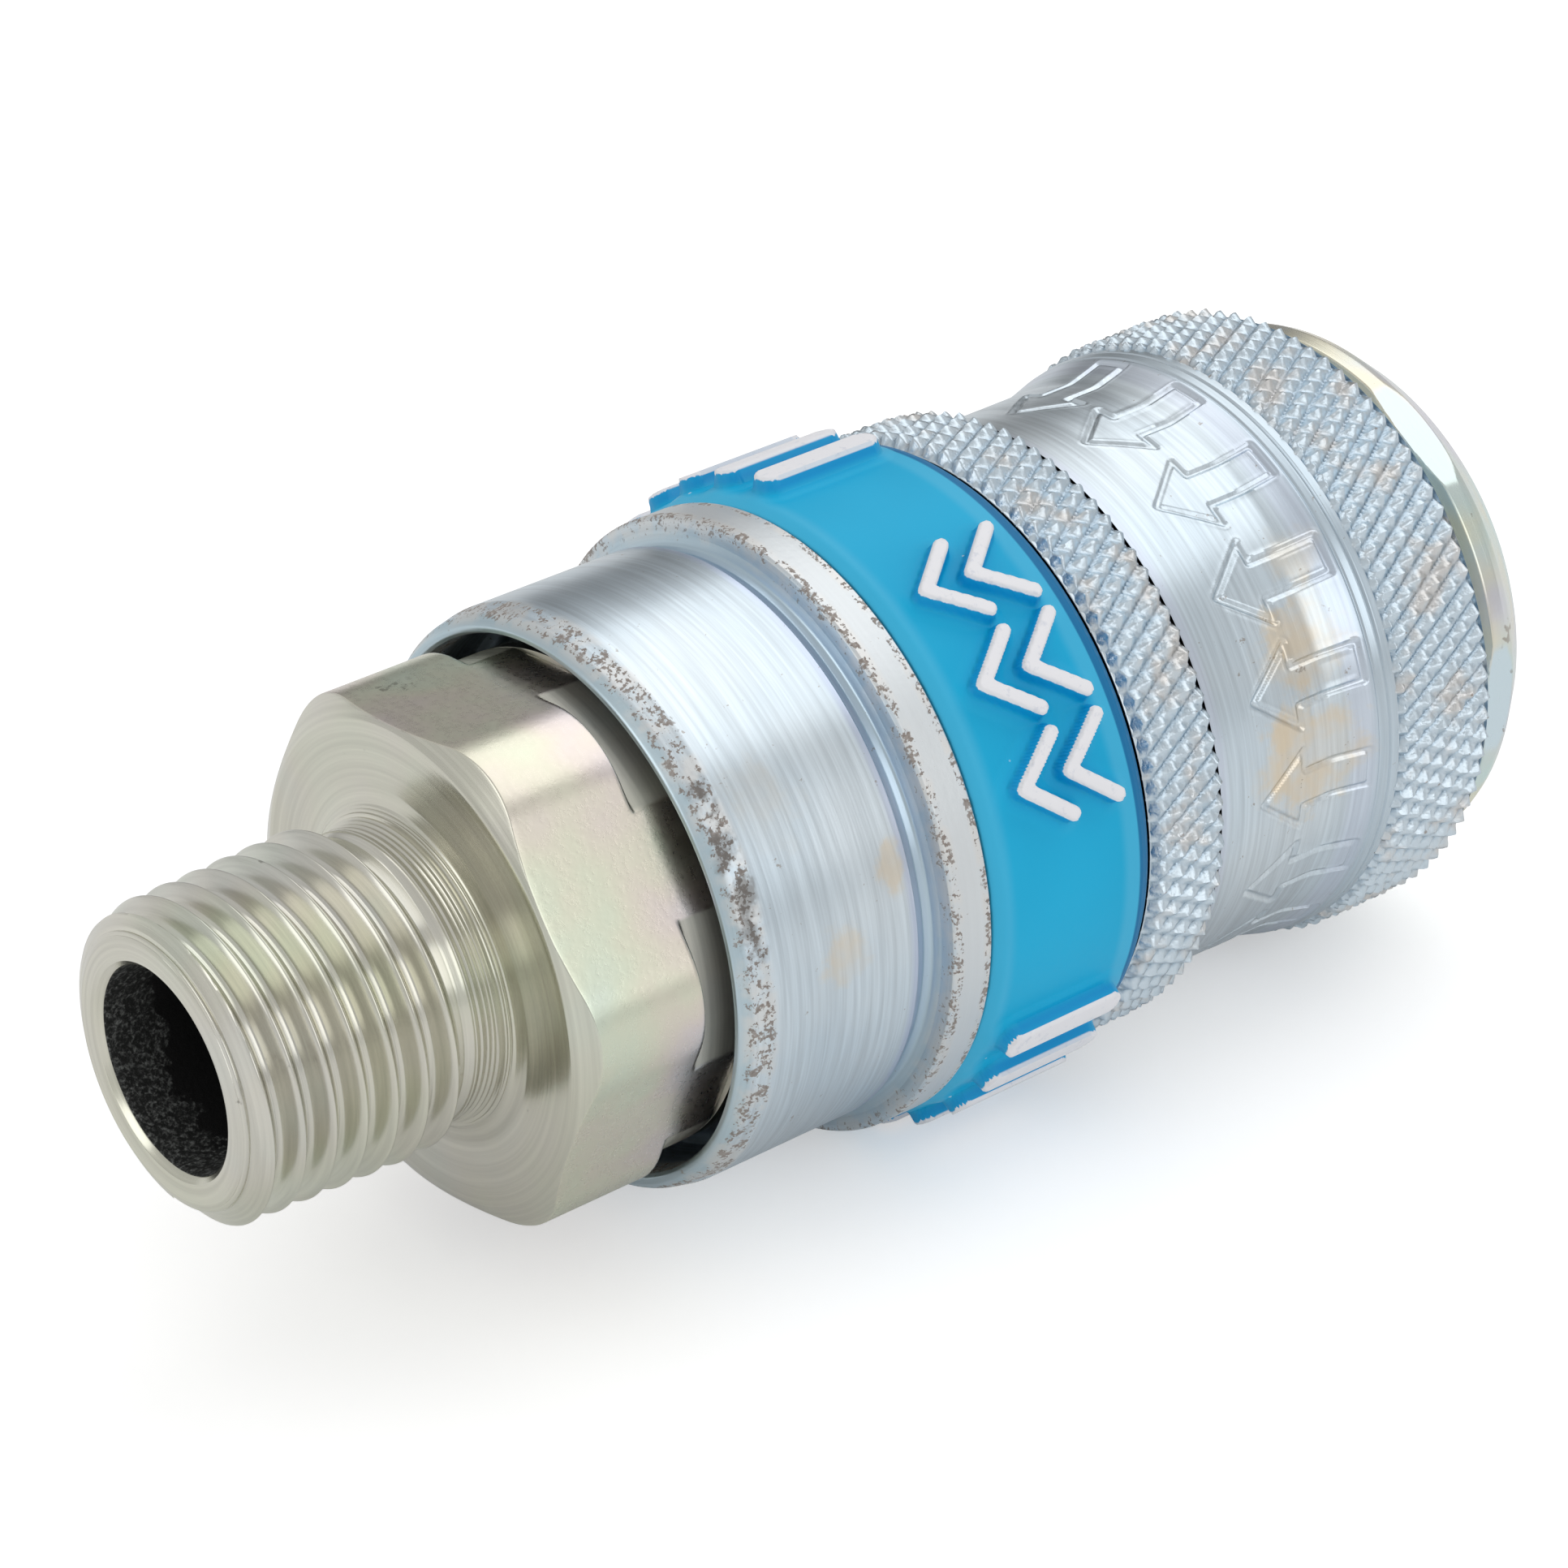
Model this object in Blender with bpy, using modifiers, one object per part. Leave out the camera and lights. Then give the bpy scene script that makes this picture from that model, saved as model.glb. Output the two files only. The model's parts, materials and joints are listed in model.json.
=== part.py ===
"""Quick disconnect coupler for compressed air, with a male taper thread.

The coupler lies on its side.  Its axis runs along +X, from the thread at the -X end
to the plug socket at the +X end.  +Z is up and the world origin is the middle of the
footprint.  Every turned piece is drawn as an outline of (station, radius) points:
the station is the distance from the thread's end face.  Outlines are in millimetres.
Pieces that touch keep a gap of FIT.  Roll angles are counted from straight up,
towards -Y.
"""
import math

import bmesh
import bpy
from mathutils import Matrix, Vector

MM = 0.001

# Overall
LENGTH = 61.0
FIT = 0.3
STEPS = 36              # facets round the large turned pieces
SMALL_STEPS = 24        # facets round the small turned pieces

# Male taper thread, R 1/4: 19 threads to the inch, taper 1 in 16 on the diameter
THREAD_PITCH = 25.4 / 19
THREAD_DEPTH = 0.64 * THREAD_PITCH
THREAD_CREST = 6.33     # crest radius at the end face
THREAD_TAPER = 1 / 32   # radius gained for each millimetre
THREAD_TURNS = 5.5
THREAD_START = 1.75     # station of the crest at roll 0; a right-hand thread
THREAD_STEPS = 18
BORE = 4.13

# Rear adaptor
REAR_HEX_FLATS = 20.0   # across flats
REAR_HEX_CORNER = 10.9
REAR_HEX_ROLL = 22.5    # roll of one corner
REAR_HEX_END = 17.0
RING_RADIUS = 10.22     # turned ring behind the hexagon
RING_FLATS_END = 19.2
FLANGE_FRONT = 20.7
SPIGOT_RADIUS = 6.35
SPIGOT_END = 28.0

# Coupler body
BODY_REAR = FLANGE_FRONT + FIT
BODY_RADIUS = 7.6
PLUG_BORE = 5.2
NOSE_REAR = 56.7
NOSE_HEX_FLATS = 23.0
NOSE_CORNER = 11.8
NOSE_HEX_ROLL = 0.7
VALVE_CAVITY = 6.0
SPIGOT_BORE = 6.5
GUIDE_STEP = 29.4       # shoulder that clamps the valve guide

# Outer sleeve
SLEEVE_TRAVEL = 3.5
SLEEVE_REAR = 18.05
SLEEVE_FRONT = 56.38
SLEEVE_BORE = 10.6
SLEEVE_LIP = 11.05      # bore that passes over the hexagon
SLEEVE_LAND = 7.95
SHOULDER = 41.0
RELEASE_RADIUS = 9.1
KNURL_RADIUS = 13.15
BARREL_RADIUS = 11.96
RIB_RADIUS = 12.87

# Locking balls
BALLS = 6
BALL_RADIUS = 1.75
BALL_STATION = 49.5
BALL_CENTRE = 6.05      # radius of the ball circle, locked
BALL_TRAVEL = 1.0
BALL_ROLL = 30.0
BALL_HOLE = 1.9

# Springs and washers
WASHER_INNER = 7.9
REAR_WASHER = (BODY_REAR, BODY_REAR + 1.0)
THRUST_WASHER = (SHOULDER - FIT - 1.1, SHOULDER - FIT)
SLEEVE_SPRING_WIRE = 0.65
SLEEVE_SPRING_RADIUS = 9.1
SLEEVE_SPRING_COILS = 7
VALVE_SPRING_WIRE = 0.4
VALVE_SPRING_RADIUS = 3.3
VALVE_SPRING_COILS = 4.5
COIL_POINTS = 10

# Valve
GUIDE = (SPIGOT_END + FIT, GUIDE_STEP - FIT)
POPPET_FLANGE = 37.5
POPPET_TIP = 46.8
STEM_RADIUS = 1.1

# Identification band and its raised marks
BAND = (29.6, 37.35)
BAND_RADIUS = 13.0
BAND_INNER = 12.4
MARK_RADIUS = 13.8
MARKS = (30.7, 36.0)
BAR_WIDTH = 1.6
FOOT_ROLL = 21.0        # the two lowest bars stand this far either side of the bottom
CHEVRON_ARM = 0.75      # width of a chevron's stroke
CHEVRON_SPREAD = 0.95   # half of a chevron's width round the band
BAR_ROLLS = (
    [180 - FOOT_ROLL - 11.5 * k for k in range(5)]
    + [180 + FOOT_ROLL]
    + [-11.5 - 11 * k for k in range(6)]
)
CHEVRON_ROLLS = [25.6 + 10 * k for k in range(5)] + [210.6 + 10 * k for k in range(4)]

# Height of the axis: the feet's lower edges touch the ground
AXIS_HEIGHT = (
    MARK_RADIUS * math.cos(math.radians(FOOT_ROLL))
    + BAR_WIDTH / 2 * math.sin(math.radians(FOOT_ROLL))
)


def clear_scene():
    for obj in list(bpy.data.objects):
        bpy.data.objects.remove(obj, do_unlink=True)


def new_collection(name):
    collection = bpy.data.collections.new(name)
    bpy.context.scene.collection.children.link(collection)
    return collection


def material(name, colour, metallic, roughness):
    mat = bpy.data.materials.new(name)
    mat.use_nodes = True
    shader = mat.node_tree.nodes["Principled BSDF"]
    shader.inputs["Base Color"].default_value = (*colour, 1)
    shader.inputs["Metallic"].default_value = metallic
    shader.inputs["Roughness"].default_value = roughness
    return mat


def add(name, mesh, mat, centre=(0, 0, 0)):
    """A piece of the coupler: centre is (station, y, z) from the axis, in millimetres."""
    obj = bpy.data.objects.new(name, mesh)
    parts.objects.link(obj)
    obj.parent = axis
    obj.location = Vector(centre) * MM
    if mat:
        mesh.materials.append(mat)
    return obj


def as_cutter(obj):
    """Moves a piece to the cutters, which the model leaves out."""
    parts.objects.unlink(obj)
    cutters.objects.link(obj)
    obj.hide_render = True
    obj.display_type = "WIRE"
    return obj


def turned(name, outline, mat, steps=STEPS, roll=0.0):
    """A closed outline of (station, radius) swept round the axis.

    The outline runs down the outer side, from the socket end to the thread end, and
    back up the inner side.  An outline that starts and ends at radius 0 is solid.
    """
    mesh = bpy.data.meshes.new(name)
    points = [(s * MM, 0, r * MM) for s, r in outline]
    edges = [(i, i + 1) for i in range(len(points) - 1)]
    if outline[0][1] > 0:
        edges.append((len(points) - 1, 0))
    mesh.from_pydata(points, edges, [])
    obj = add(name, mesh, mat)
    obj.rotation_euler = (math.radians(roll), 0, 0)
    screw = obj.modifiers.new("Turn", "SCREW")
    screw.axis = "X"
    screw.steps = steps
    screw.render_steps = steps
    screw.use_merge_vertices = True
    screw.merge_threshold = 0.00001
    screw.use_smooth_shade = False
    return obj


def boolean(obj, other, operation):
    modifier = obj.modifiers.new(operation.title(), "BOOLEAN")
    modifier.operation = operation
    modifier.solver = "EXACT"
    modifier.object = other


def arc(centre_s, centre_r, radius, start, end, count):
    """Points on a round stretch of an outline, by angle from the +station direction."""
    angles = [math.radians(start + (end - start) * k / count) for k in range(count + 1)]
    return [(centre_s + radius * math.cos(a), centre_r + radius * math.sin(a)) for a in angles]


def ring(low, high, inner, outer):
    return [(high, inner), (high, outer), (low, outer), (low, inner)]


def hexagon_cutter(name, low, high, flats, roll):
    """A ring with a six-sided hole, which cuts the flats of a hexagon."""
    corner = flats / 2 / math.cos(math.radians(30))
    return as_cutter(turned(name, ring(low, high, corner, 3 * corner), None, 6, roll))


def o_ring(name, station, major, minor, mat):
    outline = arc(station, major, minor, 0, 315, 7)
    return turned(name, outline, mat, SMALL_STEPS)


def radial_cylinders(name, radius, low, high, station, rolls, segments=16):
    """Round cutters that point away from the axis, between the radii low and high."""
    mesh = bpy.data.meshes.new(name)
    bm = bmesh.new()
    for roll in rolls:
        turn = Matrix.Rotation(math.radians(roll), 4, "X")
        shift = Matrix.Translation(Vector((station, 0, (low + high) / 2)) * MM)
        bmesh.ops.create_cone(
            bm, cap_ends=True, segments=segments, radius1=radius * MM,
            radius2=radius * MM, depth=(high - low) * MM, matrix=turn @ shift,
        )
    bm.to_mesh(mesh)
    bm.free()
    return as_cutter(add(name, mesh, None))


def axial_cylinders(name, radius, circle, low, high, rolls, segments=12):
    """Round cutters along the axis, centred on a circle."""
    mesh = bpy.data.meshes.new(name)
    bm = bmesh.new()
    lay_down = Matrix.Rotation(math.radians(90), 4, "Y")
    for roll in rolls:
        turn = Matrix.Rotation(math.radians(roll), 4, "X")
        shift = Matrix.Translation(Vector(((low + high) / 2, 0, circle)) * MM)
        bmesh.ops.create_cone(
            bm, cap_ends=True, segments=segments, radius1=radius * MM,
            radius2=radius * MM, depth=(high - low) * MM, matrix=turn @ shift @ lay_down,
        )
    bm.to_mesh(mesh)
    bm.free()
    return as_cutter(add(name, mesh, None))


def curve_mesh(name, curve):
    """The mesh of a curve, with its end caps welded; the curve itself is removed."""
    source = bpy.data.objects.new(name, curve)
    parts.objects.link(source)
    bpy.context.view_layer.update()
    depsgraph = bpy.context.evaluated_depsgraph_get()
    mesh = bpy.data.meshes.new_from_object(source.evaluated_get(depsgraph))
    bpy.data.objects.remove(source)
    bm = bmesh.new()
    bm.from_mesh(mesh)
    bmesh.ops.remove_doubles(bm, verts=bm.verts, dist=0.000001)
    bmesh.ops.recalc_face_normals(bm, faces=bm.faces)
    bm.to_mesh(mesh)
    bm.free()
    mesh.name = name
    return mesh


def coil(name, low, high, radius, wire, turns, mat):
    """A compression spring: its end coils lie flat and the rest climbs evenly."""
    count = round(turns * COIL_POINTS)
    curve = bpy.data.curves.new(name, "CURVE")
    curve.dimensions = "3D"
    curve.bevel_depth = wire * MM
    curve.bevel_resolution = 2
    curve.use_fill_caps = True
    spline = curve.splines.new("POLY")
    spline.points.add(count)
    closed = 2 * wire + 0.15     # rise over each flat end coil
    first, last = low + wire, high - wire
    for i in range(count + 1):
        turn = i / COIL_POINTS
        middle = (turn - 1) / (turns - 2)
        middle = min(max(middle, 0), 1)
        ends = min(turn, 1) + max(turn - (turns - 1), 0)
        station = first + closed * ends + (last - first - 2 * closed) * middle
        angle = 2 * math.pi * turn
        y, z = radius * math.sin(angle), radius * math.cos(angle)
        spline.points[i].co = (station * MM, y * MM, z * MM, 1)
    return add(name, curve_mesh(name, curve), mat)


def crest_radius(station):
    return THREAD_CREST + THREAD_TAPER * station


def thread_ridge():
    """The right-hand helical ridge of the taper thread, closed at both ends."""
    half = THREAD_PITCH / 2
    root = THREAD_CREST - THREAD_DEPTH - FIT
    section = [(-half * 0.9, root), (-half * 0.16, THREAD_CREST), (half * 0.16, THREAD_CREST)]
    section.append((half * 0.9, root))
    rows = round(THREAD_TURNS * THREAD_STEPS)
    mesh = bpy.data.meshes.new("thread_ridge")
    bm = bmesh.new()
    last = None
    for row in range(rows + 1):
        turn = row / THREAD_STEPS
        spin = Matrix.Rotation(2 * math.pi * turn, 3, "X")
        shift = THREAD_START + THREAD_PITCH * turn
        loop = []
        for s, r in section:
            point = spin @ Vector((0, 0, r + THREAD_TAPER * (s + shift)))
            loop.append(bm.verts.new(Vector((s + shift, point.y, point.z)) * MM))
        if last:
            for i in range(4):
                j = (i + 1) % 4
                bm.faces.new((last[i], last[j], loop[j], loop[i]))
        else:
            bm.faces.new(loop)
        last = loop
    bm.faces.new(reversed(last))
    bmesh.ops.recalc_face_normals(bm, faces=bm.faces)
    bm.to_mesh(mesh)
    bm.free()
    return as_cutter(add("thread_ridge", mesh, None))


def rear_adaptor(mat):
    """Male thread, hexagon and the spigot that screws into the coupler body."""
    root_front = crest_radius(1.3) - THREAD_DEPTH
    root_back = crest_radius(9.4) - THREAD_DEPTH
    spigot = [
        (SPIGOT_END, 5.2), (SPIGOT_END, 6.1), (SPIGOT_END - 0.25, SPIGOT_RADIUS),
        (23.5, SPIGOT_RADIUS), (23.5, 5.3), (21.9, 5.3), (21.9, SPIGOT_RADIUS),
        (FLANGE_FRONT, SPIGOT_RADIUS), (FLANGE_FRONT, RING_RADIUS - 0.2),
        (FLANGE_FRONT - 0.2, RING_RADIUS), (REAR_HEX_END + 0.1, RING_RADIUS),
    ]
    hexagon = [
        (REAR_HEX_END, REAR_HEX_CORNER), (12.2, REAR_HEX_CORNER), (11.62, 9.85), (11.56, 7.1),
        (11.3, 6.5), (10.8, 6.0), (10.4, 5.9), (9.6, 5.9),
    ]
    thread = [
        (9.4, root_back), (1.3, root_front), (1.05, crest_radius(1.05)),
        (0.55, crest_radius(0.55) - 0.1), (0, 5.3),
    ]
    bore = [(0, BORE + 0.3), (0.3, BORE), (24.2, BORE), (24.6, 5.2)]
    obj = turned("rear_adaptor", spigot + hexagon + thread + bore, mat)
    flats = hexagon_cutter("rear_flats", 11.0, RING_FLATS_END, REAR_HEX_FLATS, REAR_HEX_ROLL)
    boolean(obj, flats, "DIFFERENCE")
    boolean(obj, thread_ridge(), "UNION")


def coupler_body(mat):
    """Inner tube with the ball holes, the valve seat and the hexagonal nose."""
    nose = [(LENGTH, 9.3), (60.75, 9.95), (60.25, 10.5), (58.75, 11.65), (58.35, NOSE_CORNER)]
    outer = [
        (LENGTH, 6.3), *nose, (57.7, NOSE_CORNER), (57.3, 11.3), (57.1, 10.7),
        (NOSE_REAR + 0.15, 10.7), (NOSE_REAR, 10.9), (NOSE_REAR, 8.85), (53.7, 8.85),
        (52.9, BODY_RADIUS), (BODY_REAR, BODY_RADIUS),
    ]
    inner = [
        (BODY_REAR, SPIGOT_BORE), (GUIDE_STEP, SPIGOT_BORE), (GUIDE_STEP, VALVE_CAVITY),
        (39.3, VALVE_CAVITY), (40.8, 4.7), (42.3, 4.7), (42.3, 6.3), (45.0, 6.3),
        (45.0, PLUG_BORE), (59.9, PLUG_BORE),
    ]
    obj = turned("coupler_body", outer + inner, mat)
    flats = hexagon_cutter("nose_flats", 57.05, LENGTH + 1, NOSE_HEX_FLATS, NOSE_HEX_ROLL)
    boolean(obj, flats, "DIFFERENCE")
    holes = radial_cylinders("ball_holes", BALL_HOLE, 3.6, 9.0, BALL_STATION, ball_rolls())
    boolean(obj, holes, "DIFFERENCE")


def outer_sleeve(mat):
    """Sliding sleeve: barrel, rib, band groove, two knurled rings and a neck."""
    front = [
        (SLEEVE_FRONT, RELEASE_RADIUS), (SLEEVE_FRONT, 12.6), (55.95, KNURL_RADIUS),
        (51.1, KNURL_RADIUS), (50.77, 12.75), (50.2, 12.7), (49.2, 12.45), (48.3, 12.15),
        (44.6, 12.1), (41.7, 12.25), (41.4, 12.75), (41.05, KNURL_RADIUS),
        (38.0, KNURL_RADIUS), (37.65, 12.8), (37.65, 12.1), (29.36, 12.1),
    ]
    rear = [
        (29.36, RIB_RADIUS - 0.12), (29.24, RIB_RADIUS), (27.62, RIB_RADIUS),
        (27.5, RIB_RADIUS - 0.12), (27.35, 12.0), (27.05, 11.7), (26.7, 11.7),
        (26.45, BARREL_RADIUS), (19.2, BARREL_RADIUS), (18.6, 11.85), (18.2, 11.6),
        (SLEEVE_REAR, 11.4), (SLEEVE_REAR, 11.2), (18.2, SLEEVE_LIP),
    ]
    slope = BALL_TRAVEL / SLEEVE_TRAVEL
    cone_at_ball = 8.0
    cone_start = BALL_STATION + (SLEEVE_LAND - cone_at_ball) / slope
    cone_end = BALL_STATION + (RELEASE_RADIUS - cone_at_ball) / slope
    inner = [
        (21.4, SLEEVE_LIP), (21.85, SLEEVE_BORE), (SHOULDER, SLEEVE_BORE),
        (SHOULDER, SLEEVE_LAND), (cone_start, SLEEVE_LAND), (cone_end, RELEASE_RADIUS),
    ]
    turned("outer_sleeve", front + rear + inner, mat)


def flat_prism(bm, outline, low, high, roll):
    """Adds a flat outline of (station, width) points, raised between two radii."""
    curve = bpy.data.curves.new("mark", "CURVE")
    curve.dimensions = "2D"
    curve.fill_mode = "BOTH"
    curve.extrude = (high - low) / 2 * MM
    spline = curve.splines.new("POLY")
    spline.points.add(len(outline) - 1)
    spline.use_cyclic_u = True
    for point, (s, w) in zip(spline.points, outline):
        point.co = (s * MM, w * MM, 0, 1)
    mesh = curve_mesh("mark", curve)
    lift = Matrix.Translation(Vector((0, 0, (low + high) / 2)) * MM)
    mesh.transform(Matrix.Rotation(math.radians(roll), 4, "X") @ lift)
    bm.from_mesh(mesh)


def chevron():
    """An arrow head that points to the thread end, the way the sleeve is pulled."""
    low, high = MARKS
    tip, reach = low, high - 1.9 * CHEVRON_ARM
    half, arm = CHEVRON_SPREAD, CHEVRON_ARM * 1.9
    return [
        (tip, 0), (reach, -half), (reach + arm, -half), (tip + arm, 0),
        (reach + arm, half), (reach, half),
    ]


def id_band(mat):
    """Rubber band in the sleeve's groove, with raised bars and chevrons."""
    low, high = BAND
    outline = [
        (high, BAND_INNER), (high, BAND_RADIUS - 0.45), (high - 0.55, BAND_RADIUS),
        (low + 0.45, BAND_RADIUS), (low, BAND_RADIUS - 0.3), (low, BAND_INNER),
    ]
    obj = turned("id_band", outline, mat)
    bar_low, bar_high = MARKS
    half = BAR_WIDTH / 2
    bar = [(bar_low, -half), (bar_high, -half), (bar_high, half), (bar_low, half)]
    bm = bmesh.new()
    for roll in BAR_ROLLS:
        flat_prism(bm, bar, BAND_RADIUS - 0.3, MARK_RADIUS, roll)
    for roll in CHEVRON_ROLLS:
        flat_prism(bm, chevron(), BAND_RADIUS - 0.3, MARK_RADIUS, roll)
    mesh = bpy.data.meshes.new("band_marks")
    bm.to_mesh(mesh)
    bm.free()
    boolean(obj, as_cutter(add("band_marks", mesh, None)), "UNION")


def ball_rolls():
    return [BALL_ROLL + 360 / BALLS * k for k in range(BALLS)]


def locking_balls(mat):
    """Hardened balls that drop into the plug's groove; each has its own origin."""
    for number, roll in enumerate(ball_rolls(), 1):
        bm = bmesh.new()
        bmesh.ops.create_uvsphere(bm, u_segments=12, v_segments=8, radius=BALL_RADIUS * MM)
        mesh = bpy.data.meshes.new("locking_ball")
        bm.to_mesh(mesh)
        bm.free()
        angle = math.radians(roll)
        y, z = -BALL_CENTRE * math.sin(angle), BALL_CENTRE * math.cos(angle)
        add(f"locking_ball_{number}", mesh, mat, (BALL_STATION, y, z))


def valve_guide(mat):
    """Perforated disc that carries the valve spring and guides the poppet's stem."""
    low, high = GUIDE
    hub = [(low, 2.2), (low - 1.3, 2.2), (low - 1.3, 1.35)]
    outline = [(high, 1.35), (high, 6.3), (low, 6.3), *hub]
    obj = turned("valve_guide", outline, mat, SMALL_STEPS)
    rolls = [60 * k for k in range(6)]
    ports = axial_cylinders("guide_ports", 0.95, 3.9, low - 2, high + 2, rolls)
    boolean(obj, ports, "DIFFERENCE")


def valve_poppet(mat):
    """Stem, flange, seal groove and the hollow nose that the plug pushes."""
    outline = [
        (41.6, 0), (42.0, 2.4), (POPPET_TIP - 0.2, 2.4), (POPPET_TIP, 2.6),
        (POPPET_TIP, 3.2), (POPPET_TIP - 0.25, 3.4), (40.6, 3.4), (40.0, 4.2),
        (38.5, 4.2), (38.5, 5.5), (POPPET_FLANGE + 0.3, 5.5), (POPPET_FLANGE, 5.2),
        (POPPET_FLANGE, STEM_RADIUS), (25.8, STEM_RADIUS), (25.5, STEM_RADIUS - 0.3), (25.5, 0),
    ]
    obj = turned("valve_poppet", outline, mat, SMALL_STEPS)
    rolls = [45 + 90 * k for k in range(4)]
    ports = radial_cylinders("poppet_ports", 0.9, 1.8, 4.6, 43.6, rolls, 12)
    boolean(obj, ports, "DIFFERENCE")


def build():
    zinc = material("zinc_adaptor", (0.62, 0.62, 0.52), 1.0, 0.28)
    blue_zinc = material("zinc_sleeve", (0.60, 0.68, 0.74), 1.0, 0.30)
    steel = material("spring_steel", (0.45, 0.45, 0.47), 1.0, 0.30)
    ball_steel = material("ball_steel", (0.75, 0.75, 0.77), 1.0, 0.12)
    brass = material("valve_brass", (0.70, 0.52, 0.25), 1.0, 0.30)
    rubber = material("black_rubber", (0.02, 0.02, 0.02), 0.0, 0.60)
    blue = material("blue_rubber", (0.02, 0.30, 0.62), 0.0, 0.45)

    rear_adaptor(zinc)
    coupler_body(blue_zinc)
    outer_sleeve(blue_zinc)
    id_band(blue)
    locking_balls(ball_steel)
    valve_guide(brass)
    valve_poppet(brass)
    o_ring("adaptor_o_ring", 22.7, 5.9, 0.45, rubber)
    o_ring("plug_seal", 44.1, 5.45, 0.72, rubber)
    o_ring("valve_seal", 39.25, 4.95, 0.6, rubber)
    turned("seal_retainer", ring(42.45, 43.15, 5.1, 6.15), brass, SMALL_STEPS)
    turned("spring_rest_washer", ring(*REAR_WASHER, WASHER_INNER, 10.2), steel)
    turned("thrust_washer", ring(*THRUST_WASHER, WASHER_INNER, 10.3), steel)
    coil(
        "sleeve_spring", REAR_WASHER[1] + FIT, THRUST_WASHER[0] - FIT,
        SLEEVE_SPRING_RADIUS, SLEEVE_SPRING_WIRE, SLEEVE_SPRING_COILS, steel,
    )
    coil(
        "valve_spring", GUIDE[1] + FIT, POPPET_FLANGE - FIT,
        VALVE_SPRING_RADIUS, VALVE_SPRING_WIRE, VALVE_SPRING_COILS, steel,
    )


clear_scene()
parts = new_collection("quick_disconnect_coupler")
cutters = new_collection("cutters")
axis = bpy.data.objects.new("coupler_axis", None)
parts.objects.link(axis)
axis.location = (-LENGTH / 2 * MM, 0, AXIS_HEIGHT * MM)
build()
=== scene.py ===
"""Looks of a compressed-air quick disconnect coupler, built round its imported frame.

Every turned surface is a function of a station and a roll.  The station is the
distance in millimetres from the thread's end face along the axis, and the roll is the
angle round the axis, from straight up towards the side that faces -Y.
"""
import json
import math

import bmesh
import bpy
import numpy as np
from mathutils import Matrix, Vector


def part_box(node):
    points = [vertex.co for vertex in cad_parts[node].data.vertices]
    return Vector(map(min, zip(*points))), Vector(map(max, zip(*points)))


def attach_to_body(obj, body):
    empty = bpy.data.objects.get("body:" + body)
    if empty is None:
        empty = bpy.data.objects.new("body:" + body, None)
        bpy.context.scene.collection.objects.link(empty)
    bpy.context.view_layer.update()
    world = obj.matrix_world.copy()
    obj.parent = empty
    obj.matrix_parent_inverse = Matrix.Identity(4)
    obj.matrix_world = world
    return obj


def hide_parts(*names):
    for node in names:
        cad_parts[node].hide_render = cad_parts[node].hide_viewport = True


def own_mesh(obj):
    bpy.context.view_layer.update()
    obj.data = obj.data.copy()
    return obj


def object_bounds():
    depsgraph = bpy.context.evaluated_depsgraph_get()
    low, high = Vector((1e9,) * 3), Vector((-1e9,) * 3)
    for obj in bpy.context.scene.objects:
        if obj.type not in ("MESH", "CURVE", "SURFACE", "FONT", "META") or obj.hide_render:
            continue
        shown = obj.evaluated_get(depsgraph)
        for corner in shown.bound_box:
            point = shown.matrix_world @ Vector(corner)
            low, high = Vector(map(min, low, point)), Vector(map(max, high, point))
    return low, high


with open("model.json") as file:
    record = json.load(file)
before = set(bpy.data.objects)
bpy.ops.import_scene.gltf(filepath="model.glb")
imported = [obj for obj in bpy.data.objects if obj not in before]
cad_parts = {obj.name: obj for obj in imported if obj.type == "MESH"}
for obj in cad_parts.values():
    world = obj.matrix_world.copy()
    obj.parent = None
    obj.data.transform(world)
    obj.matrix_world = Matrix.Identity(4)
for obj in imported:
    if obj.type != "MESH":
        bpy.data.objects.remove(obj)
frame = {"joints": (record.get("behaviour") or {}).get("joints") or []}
CAD_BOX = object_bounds()

bl_info = {
    "name": "Quick Disconnect Coupler Looks",
    "version": (1, 0, 0),
    "blender": (4, 5, 0),
    "location": "View3D > Sidebar > Coupler",
    "description": "Fine surfaces, materials and studio for a compressed-air coupler",
    "category": "Object",
}

MM = 0.001
TURN = 2 * math.pi
THREAD_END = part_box("rear_adaptor")[0].x
SLEEVE_TURN = next(j for j in frame["joints"] if j["name"] == "sleeve_turn")
AXIS_HEIGHT = SLEEVE_TURN["pos_m"][2]
PITCH = 25.4 / 19                 # taper thread, 19 threads to the inch
BALL_STATION = 49.5
BALL_ROLLS = [30 + 60 * k for k in range(6)]
HEX_HALF_FLATS, HEX_CORNER = 10.0, 10.9
NOSE_HALF_FLATS = 11.5
RING_RADIUS = 10.22               # turned ring that cuts the hexagon's corners
BORE_RADIUS = 4.13
KNURL_SLANT = math.radians(30)
DARK_SIDE = (0.543, 0.838, 0.06)  # where the studio is unlit, far behind the coupler


# ---------------------------------------------------------------- settings

def size_setting(name, description, default):
    return bpy.props.FloatProperty(
        name=name, description=description, default=default, min=0, unit="LENGTH", precision=5)


def colour_setting(name, description, default):
    return bpy.props.FloatVectorProperty(
        name=name, description=description, default=default, subtype="COLOR", min=0, max=1)


class CouplerSizes(bpy.types.PropertyGroup):
    """Sizes of the fine surfaces"""
    thread_depth: size_setting("Thread Depth", "Height of the thread's ridge", 0.80 * MM)
    knurl_depth: size_setting("Knurl Depth", "Height of the knurl's points", 0.42 * MM)
    knurl_count: bpy.props.IntProperty(
        name="Knurl Count", description="Points round each knurled ring", default=90, min=12)
    mark_height: size_setting("Mark Height", "Height of the band's raised marks", 0.78 * MM)
    engraving_depth: size_setting("Engraving Depth", "Depth of the arrows on the neck", 0.11 * MM)


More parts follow.
